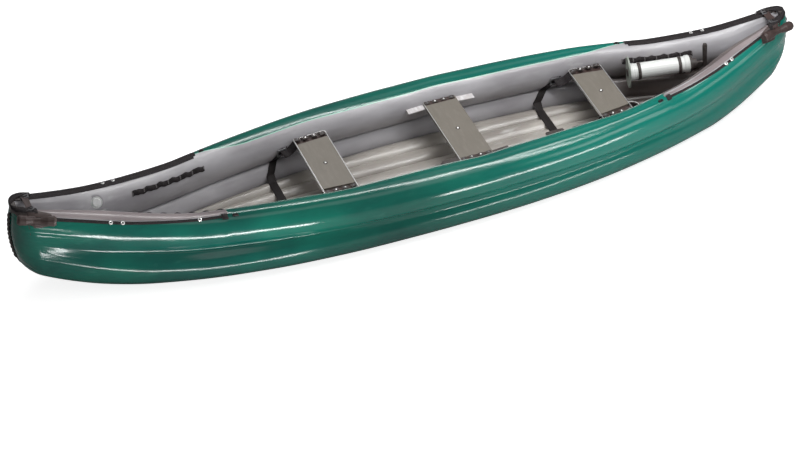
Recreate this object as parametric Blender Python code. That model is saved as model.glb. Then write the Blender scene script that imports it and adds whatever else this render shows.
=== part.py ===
"""Three-bench inflatable canoe, modelled at its real size in metres.

The bow points to -X, starboard is +Y and up is +Z. The origin is on the ground under the middle of the boat.
Two inflated tubes lie one on the other along each side and close up at the ends. A five-lane inflated floor
lies between them. Three bench boards are wedged between the upper tubes, and a hand pump is carried aft.
"""

import math

import bmesh
import bpy
from mathutils import Matrix, Vector

# Hull
HALF_LENGTH = 2.225
HALF_BEAM = 0.475
TUBE_RADIUS = 0.106
HULL_HEIGHT = 0.38
BOW_TIP_HALF_WIDTH = 0.116
BOW_UPPER_PLAN_POWER = 1.98
BOW_LOWER_PLAN_POWER = 2.87
BOW_PLAN_FULLNESS = 1.42
STERN_TIP_HALF_WIDTH = 0.077
STERN_UPPER_PLAN_POWER = 2.52
STERN_LOWER_PLAN_POWER = 2.31
STERN_PLAN_FULLNESS = 1.11
UPPER_BOW_MEETING = 0.80
UPPER_BOW_FULLNESS = 2.36
UPPER_STERN_MEETING = 0.8315
UPPER_STERN_FULLNESS = 3.5
LOWER_BOW_MEETING = 0.78
LOWER_BOW_FULLNESS = 1.95
LOWER_STERN_MEETING = 0.755
LOWER_STERN_FULLNESS = 3.2
UPPER_MEETING_SOFTNESS = 0.04
LOWER_MEETING_SOFTNESS = 0.015
BOW_SHEER_RISE = 0.207
BOW_SHEER_START = 0.573
BOW_SHEER_POWER = 1.4
STERN_SHEER_RISE = 0.169
STERN_SHEER_START = 0.663
STERN_SHEER_POWER = 1.5
BOW_KEEL_RISE = 0.188
BOW_KEEL_START = 0.69
BOW_KEEL_POWER = 2.34
STERN_KEEL_RISE = 0.204
STERN_KEEL_START = 0.76
STERN_KEEL_POWER = 1.53
NOSE_LENGTH = 0.105
NOSE_TOP_ROUNDING = 0.008
NOSE_STEM_ROUNDING = 0.044
NOSE_END_SHARE = 0.2
NOSE_STATIONS = (1.0, 0.62, 0.33, 0.15, 0.055)
TUBE_SIDES = 17
STATION_STEP = 0.12

# Fits
GAP = 0.0003
STRAP_STANDOFF = 0.0015
STRAP_BURIED = 0.003

# Floor mat
FLOOR_BOW_SETBACK = 0.0755
FLOOR_STERN_SETBACK = 0.045
FLOOR_BOW_END = -(LOWER_BOW_MEETING * HALF_LENGTH - FLOOR_BOW_SETBACK)
FLOOR_STERN_END = LOWER_STERN_MEETING * HALF_LENGTH - FLOOR_STERN_SETBACK
FLOOR_TOP = 0.122
FLOOR_BOTTOM = 0.006
FLOOR_LANES = 5
LANE_GROOVE = 0.024
LANE_TOP_FACETS = 4
LANE_BOTTOM_FACETS = 2

# Nose caps, deck strips and cross straps
CAP_THICKNESS = 0.005
CAP_LOWER_EDGE = 0.44
CAP_WINDOW_END = HALF_LENGTH - 0.03
CAP_WINDOW_WIDTH = 0.056
STEM_GUARD_WIDTH = 0.034
STEM_GUARD_FOOT = 0.25
STRIP_WIDTH = 0.032
STRIP_THICKNESS = 0.0025
STRIP_ANGLE = 97.0
STRIP_NOSE_END = HALF_LENGTH - 0.07
BOW_STRIP_LENGTH = 0.985
STERN_STRIP_LENGTH = 0.765
CROSS_STRAP_X = HALF_LENGTH - 0.09
CROSS_STRAP_WIDTH = 0.035
CROSS_STRAP_THICKNESS = 0.0025
CROSS_STRAP_STANDOFF = 0.0025
CROSS_STRAP_ANGLES = (55, 75, 95)

# Daisy chains
CHAIN_WIDTH = 0.024
CHAIN_THICKNESS = 0.0025
CHAIN_LOOP_HEIGHT = 0.006
CHAIN_LOOPS = 5
CHAIN_ANGLE = 146.0
CHAIN_FROM = 0.50787 * HALF_LENGTH
CHAIN_TO = 0.70112 * HALF_LENGTH
STERN_CHAIN_FROM = 0.59775 * HALF_LENGTH
STERN_CHAIN_TO = 0.76854 * HALF_LENGTH

# Valves
VALVE_SIDES = 14
UPPER_VALVE_X = -0.79326 * HALF_LENGTH
UPPER_VALVE_ANGLE = 142.0
LOWER_VALVE_X = 0.51685 * HALF_LENGTH
LOWER_VALVE_ANGLE = 150.0
FLOOR_VALVE_X = -0.56854 * HALF_LENGTH
FLANGE_RADIUS = 0.031
FLANGE_THICKNESS = 0.004
VALVE_RECESS = 0.0055
VALVE_BARREL_RADIUS = 0.016
VALVE_BORE_RADIUS = 0.0125
VALVE_DEPTH = 0.030
GUIDE_TOP = 0.015
GUIDE_THICKNESS = 0.004
STEM_RADIUS = 0.0032
STEM_FIT = 0.0004
BUTTON_RADIUS = 0.0065
POPPET_RADIUS = 0.0135
POPPET_THICKNESS = 0.003
STEM_TRAVEL = 0.004
CAP_RADIUS = 0.024
CAP_HEIGHT = 0.005
PLUG_DEPTH = 0.005
CAP_SPOKES = 3
SPOKE_HEIGHT = 0.003

# Bench boards
SEAT_WIDTH = 0.19
SEAT_TOP = 0.315
BOARD_THICKNESS = 0.012
BOW_SEAT_X = -0.22966 * HALF_LENGTH
CENTRE_SEAT_X = 0.11551 * HALF_LENGTH
STERN_SEAT_X = 0.50022 * HALF_LENGTH
BOW_SEAT_SQUEEZE = 0.01124
CENTRE_SEAT_SQUEEZE = 0.01575
STERN_SEAT_SQUEEZE = 0.01461
SQUEEZE_REACH = 0.15
RIM_WIDTH = 0.005
RIM_HEIGHT = 0.0135
RIM_CORNER = 0.016
BOARD_END_SETBACK = 0.052
SEAT_END_CLEARANCE = 0.004
BRACKET_THICKNESS = 0.005
BRACKET_REACH = 0.068
BRACKET_DROP = 0.055
RAIL_LENGTH = 0.39
RAIL_REACH = 0.038
RAIL_DROP = 0.030
BOARD_CORNER = 0.008

# Thigh straps
WEBBING_WIDTH = 0.046
WEBBING_THICKNESS = 0.0025
BOW_STRAP_X = -0.34157 * HALF_LENGTH
STERN_STRAP_X = 0.37303 * HALF_LENGTH
STRAP_START_BACK = 0.155
THIGH_STRAP_ROUTE = (
    (True, 174, 0.0),
    (True, 186, 0.13),
    (True, 198, 0.27),
    (True, 210, 0.42),
    (False, 126, 0.58),
    (False, 138, 0.72),
    (False, 150, 0.84),
    (False, 160, 0.95),
)
BUCKLE_STANDOFF = 0.0008
BUCKLE_LENGTH = 0.050
BUCKLE_WIDTH = 0.056
BUCKLE_THICKNESS = 0.006

# Hand pump
PUMP_FOOT_X = 0.6009 * HALF_LENGTH
PUMP_FOOT_HEIGHT = 0.297
PUMP_FOOT_FROM_TUBE = 0.0744
PUMP_BAR_FROM_TUBE = 0.0419
PUMP_PITCH = 3.3
PUMP_RADIUS = 0.045
PUMP_WALL = 0.004
PUMP_LENGTH = 0.13933 * HALF_LENGTH
PUMP_SIDES = 20
FOOT_PLATE_HEIGHT = 0.19
FOOT_PLATE_WIDTH = 0.105
FOOT_PLATE_THICKNESS = 0.008
GLAND_LENGTH = 0.045
GLAND_NECK = 0.025
GLAND_NECK_RADIUS = 0.026
ROD_RADIUS = 0.0075
ROD_FIT = 0.0005
HANDLE_RADIUS = 0.014
HANDLE_LENGTH = 0.24
HANDLE_STANDOFF = 0.050
PISTON_THICKNESS = 0.016
PISTON_FIT = 0.0005
PUMP_BAND_WIDTH = 0.018
PUMP_BAND_THICKNESS = 0.0025
PUMP_TAIL_LENGTH = 0.10
PUMP_TAIL_HEIGHT = -0.006

# Sump
SUMP_X = 0.57303 * HALF_LENGTH
SUMP_LENGTH = 0.16
SUMP_WIDTH = 0.11
SUMP_CORNER = 0.035
SUMP_WALL = 0.003
SUMP_RIM = 0.008
SUMP_FLOOR = 0.035
PLUG_RADIUS = 0.017
PLUG_HEIGHT = 0.012
PLUG_GRIP = 0.008

# Carry handles: their two ends are measured from the crown of the port tube at the cross strap, as
# distances toward the tip, outboard and up
BOW_GRIP_TIP_END = (0.080, 0.055, 0.008)
BOW_GRIP_COCKPIT_END = (-0.103, 0.100, -0.025)
STERN_GRIP_TIP_END = (0.080, 0.050, -0.006)
STERN_GRIP_COCKPIT_END = (-0.100, 0.092, -0.008)
GRIP_LENGTH = 0.20
GRIP_END_RADIUS = 0.027
GRIP_WAIST_RADIUS = 0.016
GRIP_LOOP_THICKNESS = 0.0025
GRIP_LOOP_WIDTH = 0.03
GRIP_HINGE_ANGLE = 62
BOW_GRIP_HINGE_LIFT = 0.0094
STERN_GRIP_HINGE_LIFT = 0.0101

SEATS = (
    (BOW_SEAT_X, BOW_SEAT_SQUEEZE),
    (CENTRE_SEAT_X, CENTRE_SEAT_SQUEEZE),
    (STERN_SEAT_X, STERN_SEAT_SQUEEZE),
)
INNER_EDGES = {
    (True, False): (UPPER_BOW_MEETING, UPPER_BOW_FULLNESS),
    (True, True): (UPPER_STERN_MEETING, UPPER_STERN_FULLNESS),
    (False, False): (LOWER_BOW_MEETING, LOWER_BOW_FULLNESS),
    (False, True): (LOWER_STERN_MEETING, LOWER_STERN_FULLNESS),
}
PLANS = {
    False: (BOW_TIP_HALF_WIDTH, BOW_LOWER_PLAN_POWER, BOW_UPPER_PLAN_POWER, BOW_PLAN_FULLNESS),
    True: (STERN_TIP_HALF_WIDTH, STERN_LOWER_PLAN_POWER, STERN_UPPER_PLAN_POWER, STERN_PLAN_FULLNESS),
}
SHEERS = {
    False: (BOW_SHEER_RISE, BOW_SHEER_START, BOW_SHEER_POWER),
    True: (STERN_SHEER_RISE, STERN_SHEER_START, STERN_SHEER_POWER),
}
KEELS = {
    False: (BOW_KEEL_RISE, BOW_KEEL_START, BOW_KEEL_POWER),
    True: (STERN_KEEL_RISE, STERN_KEEL_START, STERN_KEEL_POWER),
}
PORT = -1
STARBOARD = 1
BOW = -1
STERN = 1


# Hull form

def nose_share(x):
    """Width that is left as the nose rounds off: 1 along the hull, small at the very tip."""
    along = (abs(x) - (HALF_LENGTH - NOSE_LENGTH)) / NOSE_LENGTH
    if along <= 0:
        return 1.0
    return max(NOSE_END_SHARE, math.sqrt(max(0.0, 1 - along * along)))


def outer_half_width(x, upper):
    """Outboard edge of a tube."""
    tip, lower_power, upper_power, fullness = PLANS[x > 0]
    fraction = min(1.0, abs(x) / HALF_LENGTH)
    full = (1 - fraction ** (upper_power if upper else lower_power)) ** fullness
    return (tip + (HALF_BEAM - tip) * full) * nose_share(x)


def sheer(x):
    """Height of the crown of the upper tubes."""
    rise, start, power = SHEERS[x > 0]
    past = max(0.0, abs(x) / HALF_LENGTH - start) / (1 - start)
    return HULL_HEIGHT + rise * past**power - NOSE_TOP_ROUNDING * (1 - nose_share(x))


def keel(x):
    """Height of the underside of the lower tubes."""
    rise, start, power = KEELS[x > 0]
    past = max(0.0, abs(x) / HALF_LENGTH - start) / (1 - start)
    return rise * past**power + NOSE_STEM_ROUNDING * (1 - nose_share(x))


def free_inner_edge(x, upper):
    """Inboard edge of a tube that nothing presses, kept off the centre plane where the sides meet."""
    meeting, fullness = INNER_EDGES[upper, x > 0]
    softness = UPPER_MEETING_SOFTNESS if upper else LOWER_MEETING_SOFTNESS
    room = (HALF_BEAM - 2 * TUBE_RADIUS) * (1 - (abs(x) / (meeting * HALF_LENGTH)) ** fullness)
    return 0.5 * (room + math.sqrt(room * room + softness * softness))


def inner_edge(x, upper):
    """Inboard edge of a tube. The bench boards press the upper tubes outward where they are wedged in."""
    edge = free_inner_edge(x, upper)
    if upper:
        for seat_x, squeeze in SEATS:
            edge += squeeze * math.exp(-(((x - seat_x) / SQUEEZE_REACH) ** 2))
    return edge


def tube_section(x, upper):
    """Centre and radii of the oval section of a tube: centre y, centre z, radius y, radius z."""
    outer = outer_half_width(x, upper)
    inner = min(inner_edge(x, upper), 0.9 * outer)
    top, bottom = sheer(x), keel(x)
    radius_z = (top - bottom) * TUBE_RADIUS / HULL_HEIGHT
    centre_z = top - radius_z if upper else bottom + radius_z
    return (outer + inner) / 2, centre_z, (outer - inner) / 2, radius_z


def on_tube(side, upper, x, angle, lift=0.0):
    """Point above the skin of a tube, at an angle measured from outboard over the top to inboard."""
    centre_y, centre_z, radius_y, radius_z = tube_section(x, upper)
    turn = math.radians(angle)
    normal = skin_normal(side, upper, x, angle)
    skin = Vector((x, side * (centre_y + radius_y * math.cos(turn)), centre_z + radius_z * math.sin(turn)))
    return skin + normal * lift


def skin_normal(side, upper, x, angle):
    _, _, radius_y, radius_z = tube_section(x, upper)
    turn = math.radians(angle)
    return Vector((0, side * math.cos(turn) / radius_y, math.sin(turn) / radius_z)).normalized()


def inner_face(x, z, upper=True):
    """How far outboard the inner face of a tube lies at a height."""
    centre_y, centre_z, radius_y, radius_z = tube_section(x, upper)
    rise = min(1.0, abs(z - centre_z) / radius_z)
    return centre_y - radius_y * math.sqrt(1 - rise * rise)


def stations(start, end):
    """Places along X from start to end: the hull's common stations and both ends."""
    nose = [HALF_LENGTH - NOSE_LENGTH * share for share in NOSE_STATIONS]
    straight = [i * STATION_STEP for i in range(int((nose[0] - 0.03) / STATION_STEP) + 1)]
    grid = sorted({round(sign * x, 6) for x in straight + nose for sign in (-1, 1)})
    inside = [x for x in grid if start + 0.004 < x < end - 0.004]
    return [start, *inside, end]


# Blender helpers

def clear_scene():
    for obj in list(bpy.data.objects):
        bpy.data.objects.remove(obj, do_unlink=True)


def finish(name, colour, roughness, metallic=0.0):
    material = bpy.data.materials.new(name)
    material.use_nodes = True
    shader = material.node_tree.nodes["Principled BSDF"]
    shader.inputs["Base Color"].default_value = (*colour, 1.0)
    shader.inputs["Roughness"].default_value = roughness
    shader.inputs["Metallic"].default_value = metallic
    return material


def make_object(name, shape, material=None, place=None, smooth_angle=35.0):
    """Turns a bmesh into an object. Without a material it is a cutter, which is left out of the model."""
    bmesh.ops.recalc_face_normals(shape, faces=shape.faces)
    mesh = bpy.data.meshes.new(name)
    shape.to_mesh(mesh)
    shape.free()
    mesh.shade_smooth()
    mesh.set_sharp_from_angle(angle=math.radians(smooth_angle))
    obj = bpy.data.objects.new(name, mesh)
    bpy.context.scene.collection.objects.link(obj)
    if place is not None:
        obj.matrix_world = place
    if material is None:
        obj.hide_render = True
        obj.display_type = "WIRE"
    else:
        mesh.materials.append(material)
    return obj


def combine(obj, other, operation):
    modifier = obj.modifiers.new(f"{operation.lower()}_{other.name}", "BOOLEAN")
    modifier.operation = operation
    modifier.solver = "EXACT"
    modifier.object = other


def loft(rings):
    """Closed body through rings that all have the same number of points. Its facets are split the same way
    each time, so that a piece and the grown copy that cuts its neighbours run parallel."""
    shape = bmesh.new()
    loops = [[shape.verts.new(point) for point in ring] for ring in rings]
    count = len(loops[0])
    for first, second in zip(loops, loops[1:]):
        for i in range(count):
            j = (i + 1) % count
            shape.faces.new((first[i], first[j], second[j]))
            shape.faces.new((first[i], second[j], second[i]))
    shape.faces.new(loops[0])
    shape.faces.new(loops[-1])
    return shape


def turned(profile, sides, axis=(0, 0, 1)):
    """Body of revolution about an axis through the origin. The profile is (radius, height) pairs round the
    solid. One whose ends both lie on the axis is left open there, and any other is closed."""
    shape = bmesh.new()
    axis = Vector(axis)
    across = Vector((0, 1, 0)) if axis.x else Vector((1, 0, 0))
    points = [shape.verts.new(across * radius + axis * height) for radius, height in profile]
    edges = [shape.edges.new(pair) for pair in zip(points, points[1:])]
    if profile[0][0] > 0 or profile[-1][0] > 0:
        edges.append(shape.edges.new((points[-1], points[0])))
    bmesh.ops.spin(
        shape, geom=points + edges, cent=(0, 0, 0), axis=axis, angle=math.tau, steps=sides, use_merge=True
    )
    bmesh.ops.remove_doubles(shape, verts=shape.verts, dist=1e-6)
    return shape


def plate(outline, low, high):
    """Flat plate: an outline in X and Y, extruded between two heights."""
    shape = bmesh.new()
    face = shape.faces.new([shape.verts.new((x, y, low)) for x, y in outline])
    grown = bmesh.ops.extrude_face_region(shape, geom=[face])
    moved = [item for item in grown["geom"] if isinstance(item, bmesh.types.BMVert)]
    bmesh.ops.translate(shape, verts=moved, vec=(0, 0, high - low))
    return shape


def ring_plate(outer, inner, low, high):
    """Flat frame between two outlines with the same number of points."""
    shape = bmesh.new()
    levels = []
    for height in (low, high):
        levels.append([[shape.verts.new((x, y, height)) for x, y in loop] for loop in (outer, inner)])
    count = len(outer)
    for i in range(count):
        j = (i + 1) % count
        (low_out, low_in), (high_out, high_in) = levels
        shape.faces.new((low_out[i], low_out[j], low_in[j], low_in[i]))
        shape.faces.new((high_out[i], high_out[j], high_in[j], high_in[i]))
        shape.faces.new((low_out[i], low_out[j], high_out[j], high_out[i]))
        shape.faces.new((low_in[i], low_in[j], high_in[j], high_in[i]))
    return shape


def rounded_outline(corners, radius, steps=4):
    """Convex outline with each corner replaced by an arc of about the given radius."""
    points = []
    count = len(corners)
    for i, corner in enumerate(corners):
        here = Vector(corner)
        back = (Vector(corners[i - 1]) - here).normalized()
        ahead = (Vector(corners[(i + 1) % count]) - here).normalized()
        half = back.angle(ahead) / 2
        reach = radius / math.tan(half)
        centre = here + (back + ahead).normalized() * (radius / math.sin(half))
        start = here + back * reach - centre
        end = here + ahead * reach - centre
        sweep = start.angle_signed(end)
        for step in range(steps + 1):
            turn = Matrix.Rotation(-sweep * step / steps, 2)
            points.append(tuple(centre + turn @ start))
    return points


def box(size, centre=(0, 0, 0)):
    shape = bmesh.new()
    bmesh.ops.create_cube(shape, size=1.0)
    bmesh.ops.scale(shape, verts=shape.verts, vec=size)
    bmesh.ops.translate(shape, verts=shape.verts, vec=centre)
    return shape


def strap_shape(stops, thickness):
    """Strap through stops. Each stop gives, for a lift above the skin, the points across the strap there.
    The underside starts inside the skin, which then cuts it to fit."""
    rings = []
    for stop in stops:
        rings.append(stop(-STRAP_BURIED) + stop(STRAP_STANDOFF + thickness)[::-1])
    return loft(rings)


def axis_frame(origin, up):
    """Frame at a point with its Z along a direction."""
    up = Vector(up).normalized()
    side = up.cross(Vector((1, 0, 0))).normalized()
    ahead = side.cross(up)
    frame = Matrix((ahead, side, up)).transposed().to_4x4()
    frame.translation = origin
    return frame


# Hull

def tube_ring(side, upper, x, grow=0.0):
    """Section of a tube: an arc of flat facets that touch the oval, closed by the flat where the tubes meet."""
    centre_y, centre_z, radius_y, radius_z = tube_section(x, upper)
    middle = (sheer(x) + keel(x)) / 2
    seam_offset = abs(centre_z - middle) - GAP / 2
    radius_y += grow
    radius_z += grow
    start = math.asin(min(0.97, (seam_offset + grow) / radius_z))
    step = (math.pi + 2 * start) / TUBE_SIDES
    reach = 1 / math.cos(step / 2)
    facing = 1 if upper else -1
    points = []
    for i in range(TUBE_SIDES + 1):
        turn = -start + i * step
        stretch = 1.0 if i in (0, TUBE_SIDES) else reach
        y = max(GAP - grow, centre_y + radius_y * stretch * math.cos(turn))
        z = centre_z + facing * radius_z * stretch * math.sin(turn)
        points.append((x, side * y, z))
    return points


def tube_shape(side, upper, grow=0.0):
    end = HALF_LENGTH - CAP_THICKNESS - GAP + grow
    return loft([tube_ring(side, upper, x, grow) for x in stations(-end, end)])


def lane_height(share, top, groove, facets_are_round=True):
    """Height of a lane of the mat at a share of its width from 0 to 1."""
    bulge = math.sin(math.pi * share) if facets_are_round else 1.0
    return top - groove * (1 - bulge)


def floor_half_width(x):
    innermost = min(abs(point[1]) for point in tube_ring(STARBOARD, False, x))
    return innermost - GAP


def floor_ring(x):
    half_width = floor_half_width(x)
    lift = keel(x)
    lane_width = 2 * half_width / FLOOR_LANES
    shrink = min(1.0, lane_width / LANE_GROOVE / 2)
    points = []
    top_steps = FLOOR_LANES * LANE_TOP_FACETS
    for i in range(top_steps + 1):
        share = (i % LANE_TOP_FACETS) / LANE_TOP_FACETS
        y = -half_width + 2 * half_width * i / top_steps
        points.append((x, y, lift + lane_height(share, FLOOR_TOP, LANE_GROOVE * shrink)))
    bottom_steps = FLOOR_LANES * LANE_BOTTOM_FACETS
    for i in range(bottom_steps + 1):
        share = (i % LANE_BOTTOM_FACETS) / LANE_BOTTOM_FACETS
        y = half_width - 2 * half_width * i / bottom_steps
        points.append((x, y, lift + FLOOR_BOTTOM + LANE_GROOVE * shrink * (1 - math.sin(math.pi * share))))
    return points


def make_hull(skins):
    tubes = {}
    for side, side_name in ((PORT, "port"), (STARBOARD, "starboard")):
        for upper, level in ((True, "upper"), (False, "lower")):
            name = f"{side_name}_{level}_tube"
            tubes[side, upper] = make_object(name, tube_shape(side, upper), skins["hull"])
    rings = [floor_ring(x) for x in stations(FLOOR_BOW_END, FLOOR_STERN_END)]
    floor = make_object("inflatable_floor", loft(rings), skins["floor"])
    return tubes, floor


def make_tube_cutters():
    """The tubes grown by the fitting gap, to cut whatever seats on them."""
    cutters = {}
    for side in (PORT, STARBOARD):
        for upper in (True, False):
            name = f"cutter_tube_{side}_{int(upper)}"
            cutters[side, upper] = make_object(name, tube_shape(side, upper, GAP))
    return cutters


# Ends

def wrap_ring(x, grow):
    """Section of a shoe pulled over all the tubes: their outboard facets, bridged at the waist and the middle."""
    half = []
    for upper, order in ((False, -1), (True, 1)):
        facets = tube_ring(STARBOARD, upper, x, grow)[1 : TUBE_SIDES // 2 + 2]
        half += facets[::order]
    return half + [(x, -y, z) for x, y, z in reversed(half)]


def make_nose_cap(end, name, skins, tube_cutters):
    """Rubber shoe over the tips of the tubes, open on top between the crowns, with a guard down the stem."""
    places = [end * (HALF_LENGTH - NOSE_LENGTH * share) for share in NOSE_STATIONS]
    tip = end * HALF_LENGTH
    outer = [wrap_ring(x, CAP_THICKNESS) for x in [*places[1:], tip]]
    cap = make_object(name, loft(outer), skins["webbing"])
    inner_tip = tip - end * CAP_THICKNESS
    inner = [wrap_ring(x, 2 * GAP) for x in [*places, inner_tip]]
    depth = 2 * HALF_LENGTH
    upper_part = make_object(f"{name}_upper_part", box((depth, 1.0, 1.0), (0, 0, CAP_LOWER_EDGE + 0.5)))
    stem_box = box((depth, STEM_GUARD_WIDTH, 1.0), (0, 0, STEM_GUARD_FOOT + 0.5))
    keep = make_object(f"{name}_stem_part", stem_box)
    combine(keep, upper_part, "UNION")
    combine(cap, make_object(f"{name}_inside", loft(inner)), "DIFFERENCE")
    for cutter in tube_cutters.values():
        combine(cap, cutter, "DIFFERENCE")
    combine(cap, keep, "INTERSECT")
    window = box((2 * CAP_WINDOW_END, CAP_WINDOW_WIDTH, 0.2), (0, 0, sheer(tip) + 0.05))
    combine(cap, make_object(f"{name}_window", window), "DIFFERENCE")
    return cap


def across_tube(side, x, angle, width):
    """Stop of a strap that runs along a tube: its points lie round the skin."""
    half_turn = math.degrees(width / 2 / tube_section(x, True)[2])
    return lambda lift: [on_tube(side, True, x, angle + turn, lift) for turn in (-half_turn, 0, half_turn)]


def along_tube(side, upper, x, angle, width):
    """Stop of a strap that runs round a tube: its points lie along the skin."""
    return lambda lift: [on_tube(side, upper, x + share * width, angle, lift) for share in (-0.5, 0, 0.5)]


def make_deck_strip(end, side, length, name, skins, tube_cutters):
    """Webbing strip along the crown of an upper tube, from the cap to the cockpit."""
    low, high = sorted((end * (STRIP_NOSE_END - length), end * STRIP_NOSE_END))
    stops = [across_tube(side, x, STRIP_ANGLE, STRIP_WIDTH) for x in stations(low, high)]
    node = make_object(name, strap_shape(stops, STRIP_THICKNESS), skins["webbing"])
    combine(node, tube_cutters[side, True], "DIFFERENCE")


def make_cross_strap(end, name, skins):
    """Webbing pulled tight from crown to crown over the ends of the deck strips."""
    base = STRAP_STANDOFF + STRIP_THICKNESS + CROSS_STRAP_STANDOFF
    shoulders = [(PORT, angle) for angle in CROSS_STRAP_ANGLES]
    shoulders += [(STARBOARD, angle) for angle in reversed(CROSS_STRAP_ANGLES)]
    rings = []
    for side, angle in shoulders:
        stop = along_tube(side, True, end * CROSS_STRAP_X, angle, CROSS_STRAP_WIDTH)
        rings.append(stop(base) + stop(base + CROSS_STRAP_THICKNESS)[::-1])
    make_object(name, loft(rings), skins["webbing"])


def make_daisy_chain(side, near, far, name, skins, tube_cutters):
    """Webbing with a row of sewn loops, welded to the inner face of an upper tube."""
    steps = CHAIN_LOOPS * 4
    rings = []
    for i in range(steps + 1):
        share = i / steps
        stop = across_tube(side, near + (far - near) * share, CHAIN_ANGLE, CHAIN_WIDTH)
        bulge = CHAIN_LOOP_HEIGHT * math.sin(math.pi * CHAIN_LOOPS * share) ** 2
        rings.append(stop(-STRAP_BURIED) + stop(STRAP_STANDOFF + CHAIN_THICKNESS + bulge)[::-1])
    node = make_object(name, loft(rings), skins["webbing"])
    combine(node, tube_cutters[side, True], "DIFFERENCE")


# Valves

def valve_pocket_profile():
    wide = FLANGE_RADIUS + GAP
    narrow = POPPET_RADIUS + 0.0035
    bottom = -(VALVE_RECESS + VALVE_DEPTH + GAP + POPPET_THICKNESS + STEM_TRAVEL + 0.0015)
    return [(0, 0.03), (wide, 0.03), (wide, -VALVE_RECESS), (narrow, -VALVE_RECESS), (narrow, bottom), (0, bottom)]


def valve_body_profile():
    seat = -VALVE_RECESS + GAP
    top = seat + FLANGE_THICKNESS
    bottom = seat - VALVE_DEPTH
    guide = top - GUIDE_TOP
    guide_hole = STEM_RADIUS + STEM_FIT
    return [
        (VALVE_BORE_RADIUS, top),
        (FLANGE_RADIUS - 0.002, top),
        (FLANGE_RADIUS, seat),
        (VALVE_BARREL_RADIUS, seat),
        (VALVE_BARREL_RADIUS, bottom),
        (VALVE_BORE_RADIUS - 0.002, bottom),
        (VALVE_BORE_RADIUS - 0.002, guide - GUIDE_THICKNESS),
        (guide_hole, guide - GUIDE_THICKNESS),
        (guide_hole, guide),
        (VALVE_BORE_RADIUS, guide),
    ]


def valve_stem_profile():
    seat = -VALVE_RECESS + GAP
    top = seat + FLANGE_THICKNESS
    poppet_top = seat - VALVE_DEPTH - GAP
    button_bottom = top - GUIDE_TOP + STEM_TRAVEL + 0.001
    return [
        (0, button_bottom + 0.002),
        (BUTTON_RADIUS, button_bottom + 0.002),
        (BUTTON_RADIUS, button_bottom),
        (STEM_RADIUS, button_bottom),
        (STEM_RADIUS, poppet_top),
        (POPPET_RADIUS, poppet_top),
        (POPPET_RADIUS, poppet_top - POPPET_THICKNESS),
        (0, poppet_top - POPPET_THICKNESS),
    ]


def valve_cap_shape():
    """Disc with a plug under it and raised finger spokes on top."""
    top = -VALVE_RECESS + GAP + FLANGE_THICKNESS
    plug = VALVE_BORE_RADIUS * math.cos(math.pi / VALVE_SIDES) - GAP
    disc = top + GAP
    profile = [(0, disc + CAP_HEIGHT), (0.007, disc + CAP_HEIGHT), (CAP_RADIUS - 0.003, disc + CAP_HEIGHT)]
    profile += [(CAP_RADIUS, disc + CAP_HEIGHT - 0.002), (CAP_RADIUS, disc), (plug, disc)]
    profile += [(plug, disc - PLUG_DEPTH), (0, disc - PLUG_DEPTH)]
    shape = turned(profile, VALVE_SIDES)
    level = disc + CAP_HEIGHT
    annulus = [
        face for face in shape.faces
        if abs(face.normal.z) > 0.99
        and abs(face.calc_center_median().z - level) < 1e-6
        and face.calc_center_median().xy.length > 0.009
    ]
    annulus.sort(key=lambda face: math.atan2(*face.calc_center_median().yx))
    spokes = annulus[:: max(1, len(annulus) // CAP_SPOKES)][:CAP_SPOKES]
    for face in spokes:
        grown = bmesh.ops.extrude_discrete_faces(shape, faces=[face])["faces"]
        moved = {vert for new in grown for vert in new.verts}
        bmesh.ops.translate(shape, verts=list(moved), vec=(0, 0, SPOKE_HEIGHT))
    return shape


def make_valve(name, frame, carrier, skins):
    """An inflation valve in a pocket of the skin that carries it: body, sprung stem and cap."""
    pocket = make_object(f"{name}_pocket", turned(valve_pocket_profile(), VALVE_SIDES), place=frame)
    combine(carrier, pocket, "DIFFERENCE")
    make_object(f"{name}_body", turned(valve_body_profile(), VALVE_SIDES), skins["valve"], frame)
    make_object(f"{name}_stem", turned(valve_stem_profile(), 10), skins["rubber"], frame)
    make_object(f"{name}_cap", valve_cap_shape(), skins["valve"], frame)


def make_valves(tubes, floor, skins):
    for side, side_name in ((PORT, "port"), (STARBOARD, "starboard")):
        places = (("upper", True, UPPER_VALVE_X, UPPER_VALVE_ANGLE), ("lower", False, LOWER_VALVE_X, LOWER_VALVE_ANGLE))
        for level, upper, x, angle in places:
            frame = axis_frame(on_tube(side, upper, x, angle), skin_normal(side, upper, x, angle))
            make_valve(f"{side_name}_{level}_valve", frame, tubes[side, upper], skins)
    point = Vector((FLOOR_VALVE_X, 0, FLOOR_TOP + keel(FLOOR_VALVE_X)))
    make_valve("floor_valve", axis_frame(point, (0, 0, 1)), floor, skins)


# Seats

def seat_corner_y(x, setback=0.0):
    return inner_face(x, SEAT_TOP - BOARD_THICKNESS / 2) - SEAT_END_CLEARANCE - setback


def seat_outline(seat_x, half_width, setback, radius):
    """Board outline whose ends run along the tubes they bear on."""
    fore, aft = seat_x - half_width, seat_x + half_width
    fore_y, aft_y = seat_corner_y(fore, setback), seat_corner_y(aft, setback)
    corners = [(fore, fore_y), (aft, aft_y), (aft, -aft_y), (fore, -fore_y)]
    return rounded_outline(corners, radius)


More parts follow.
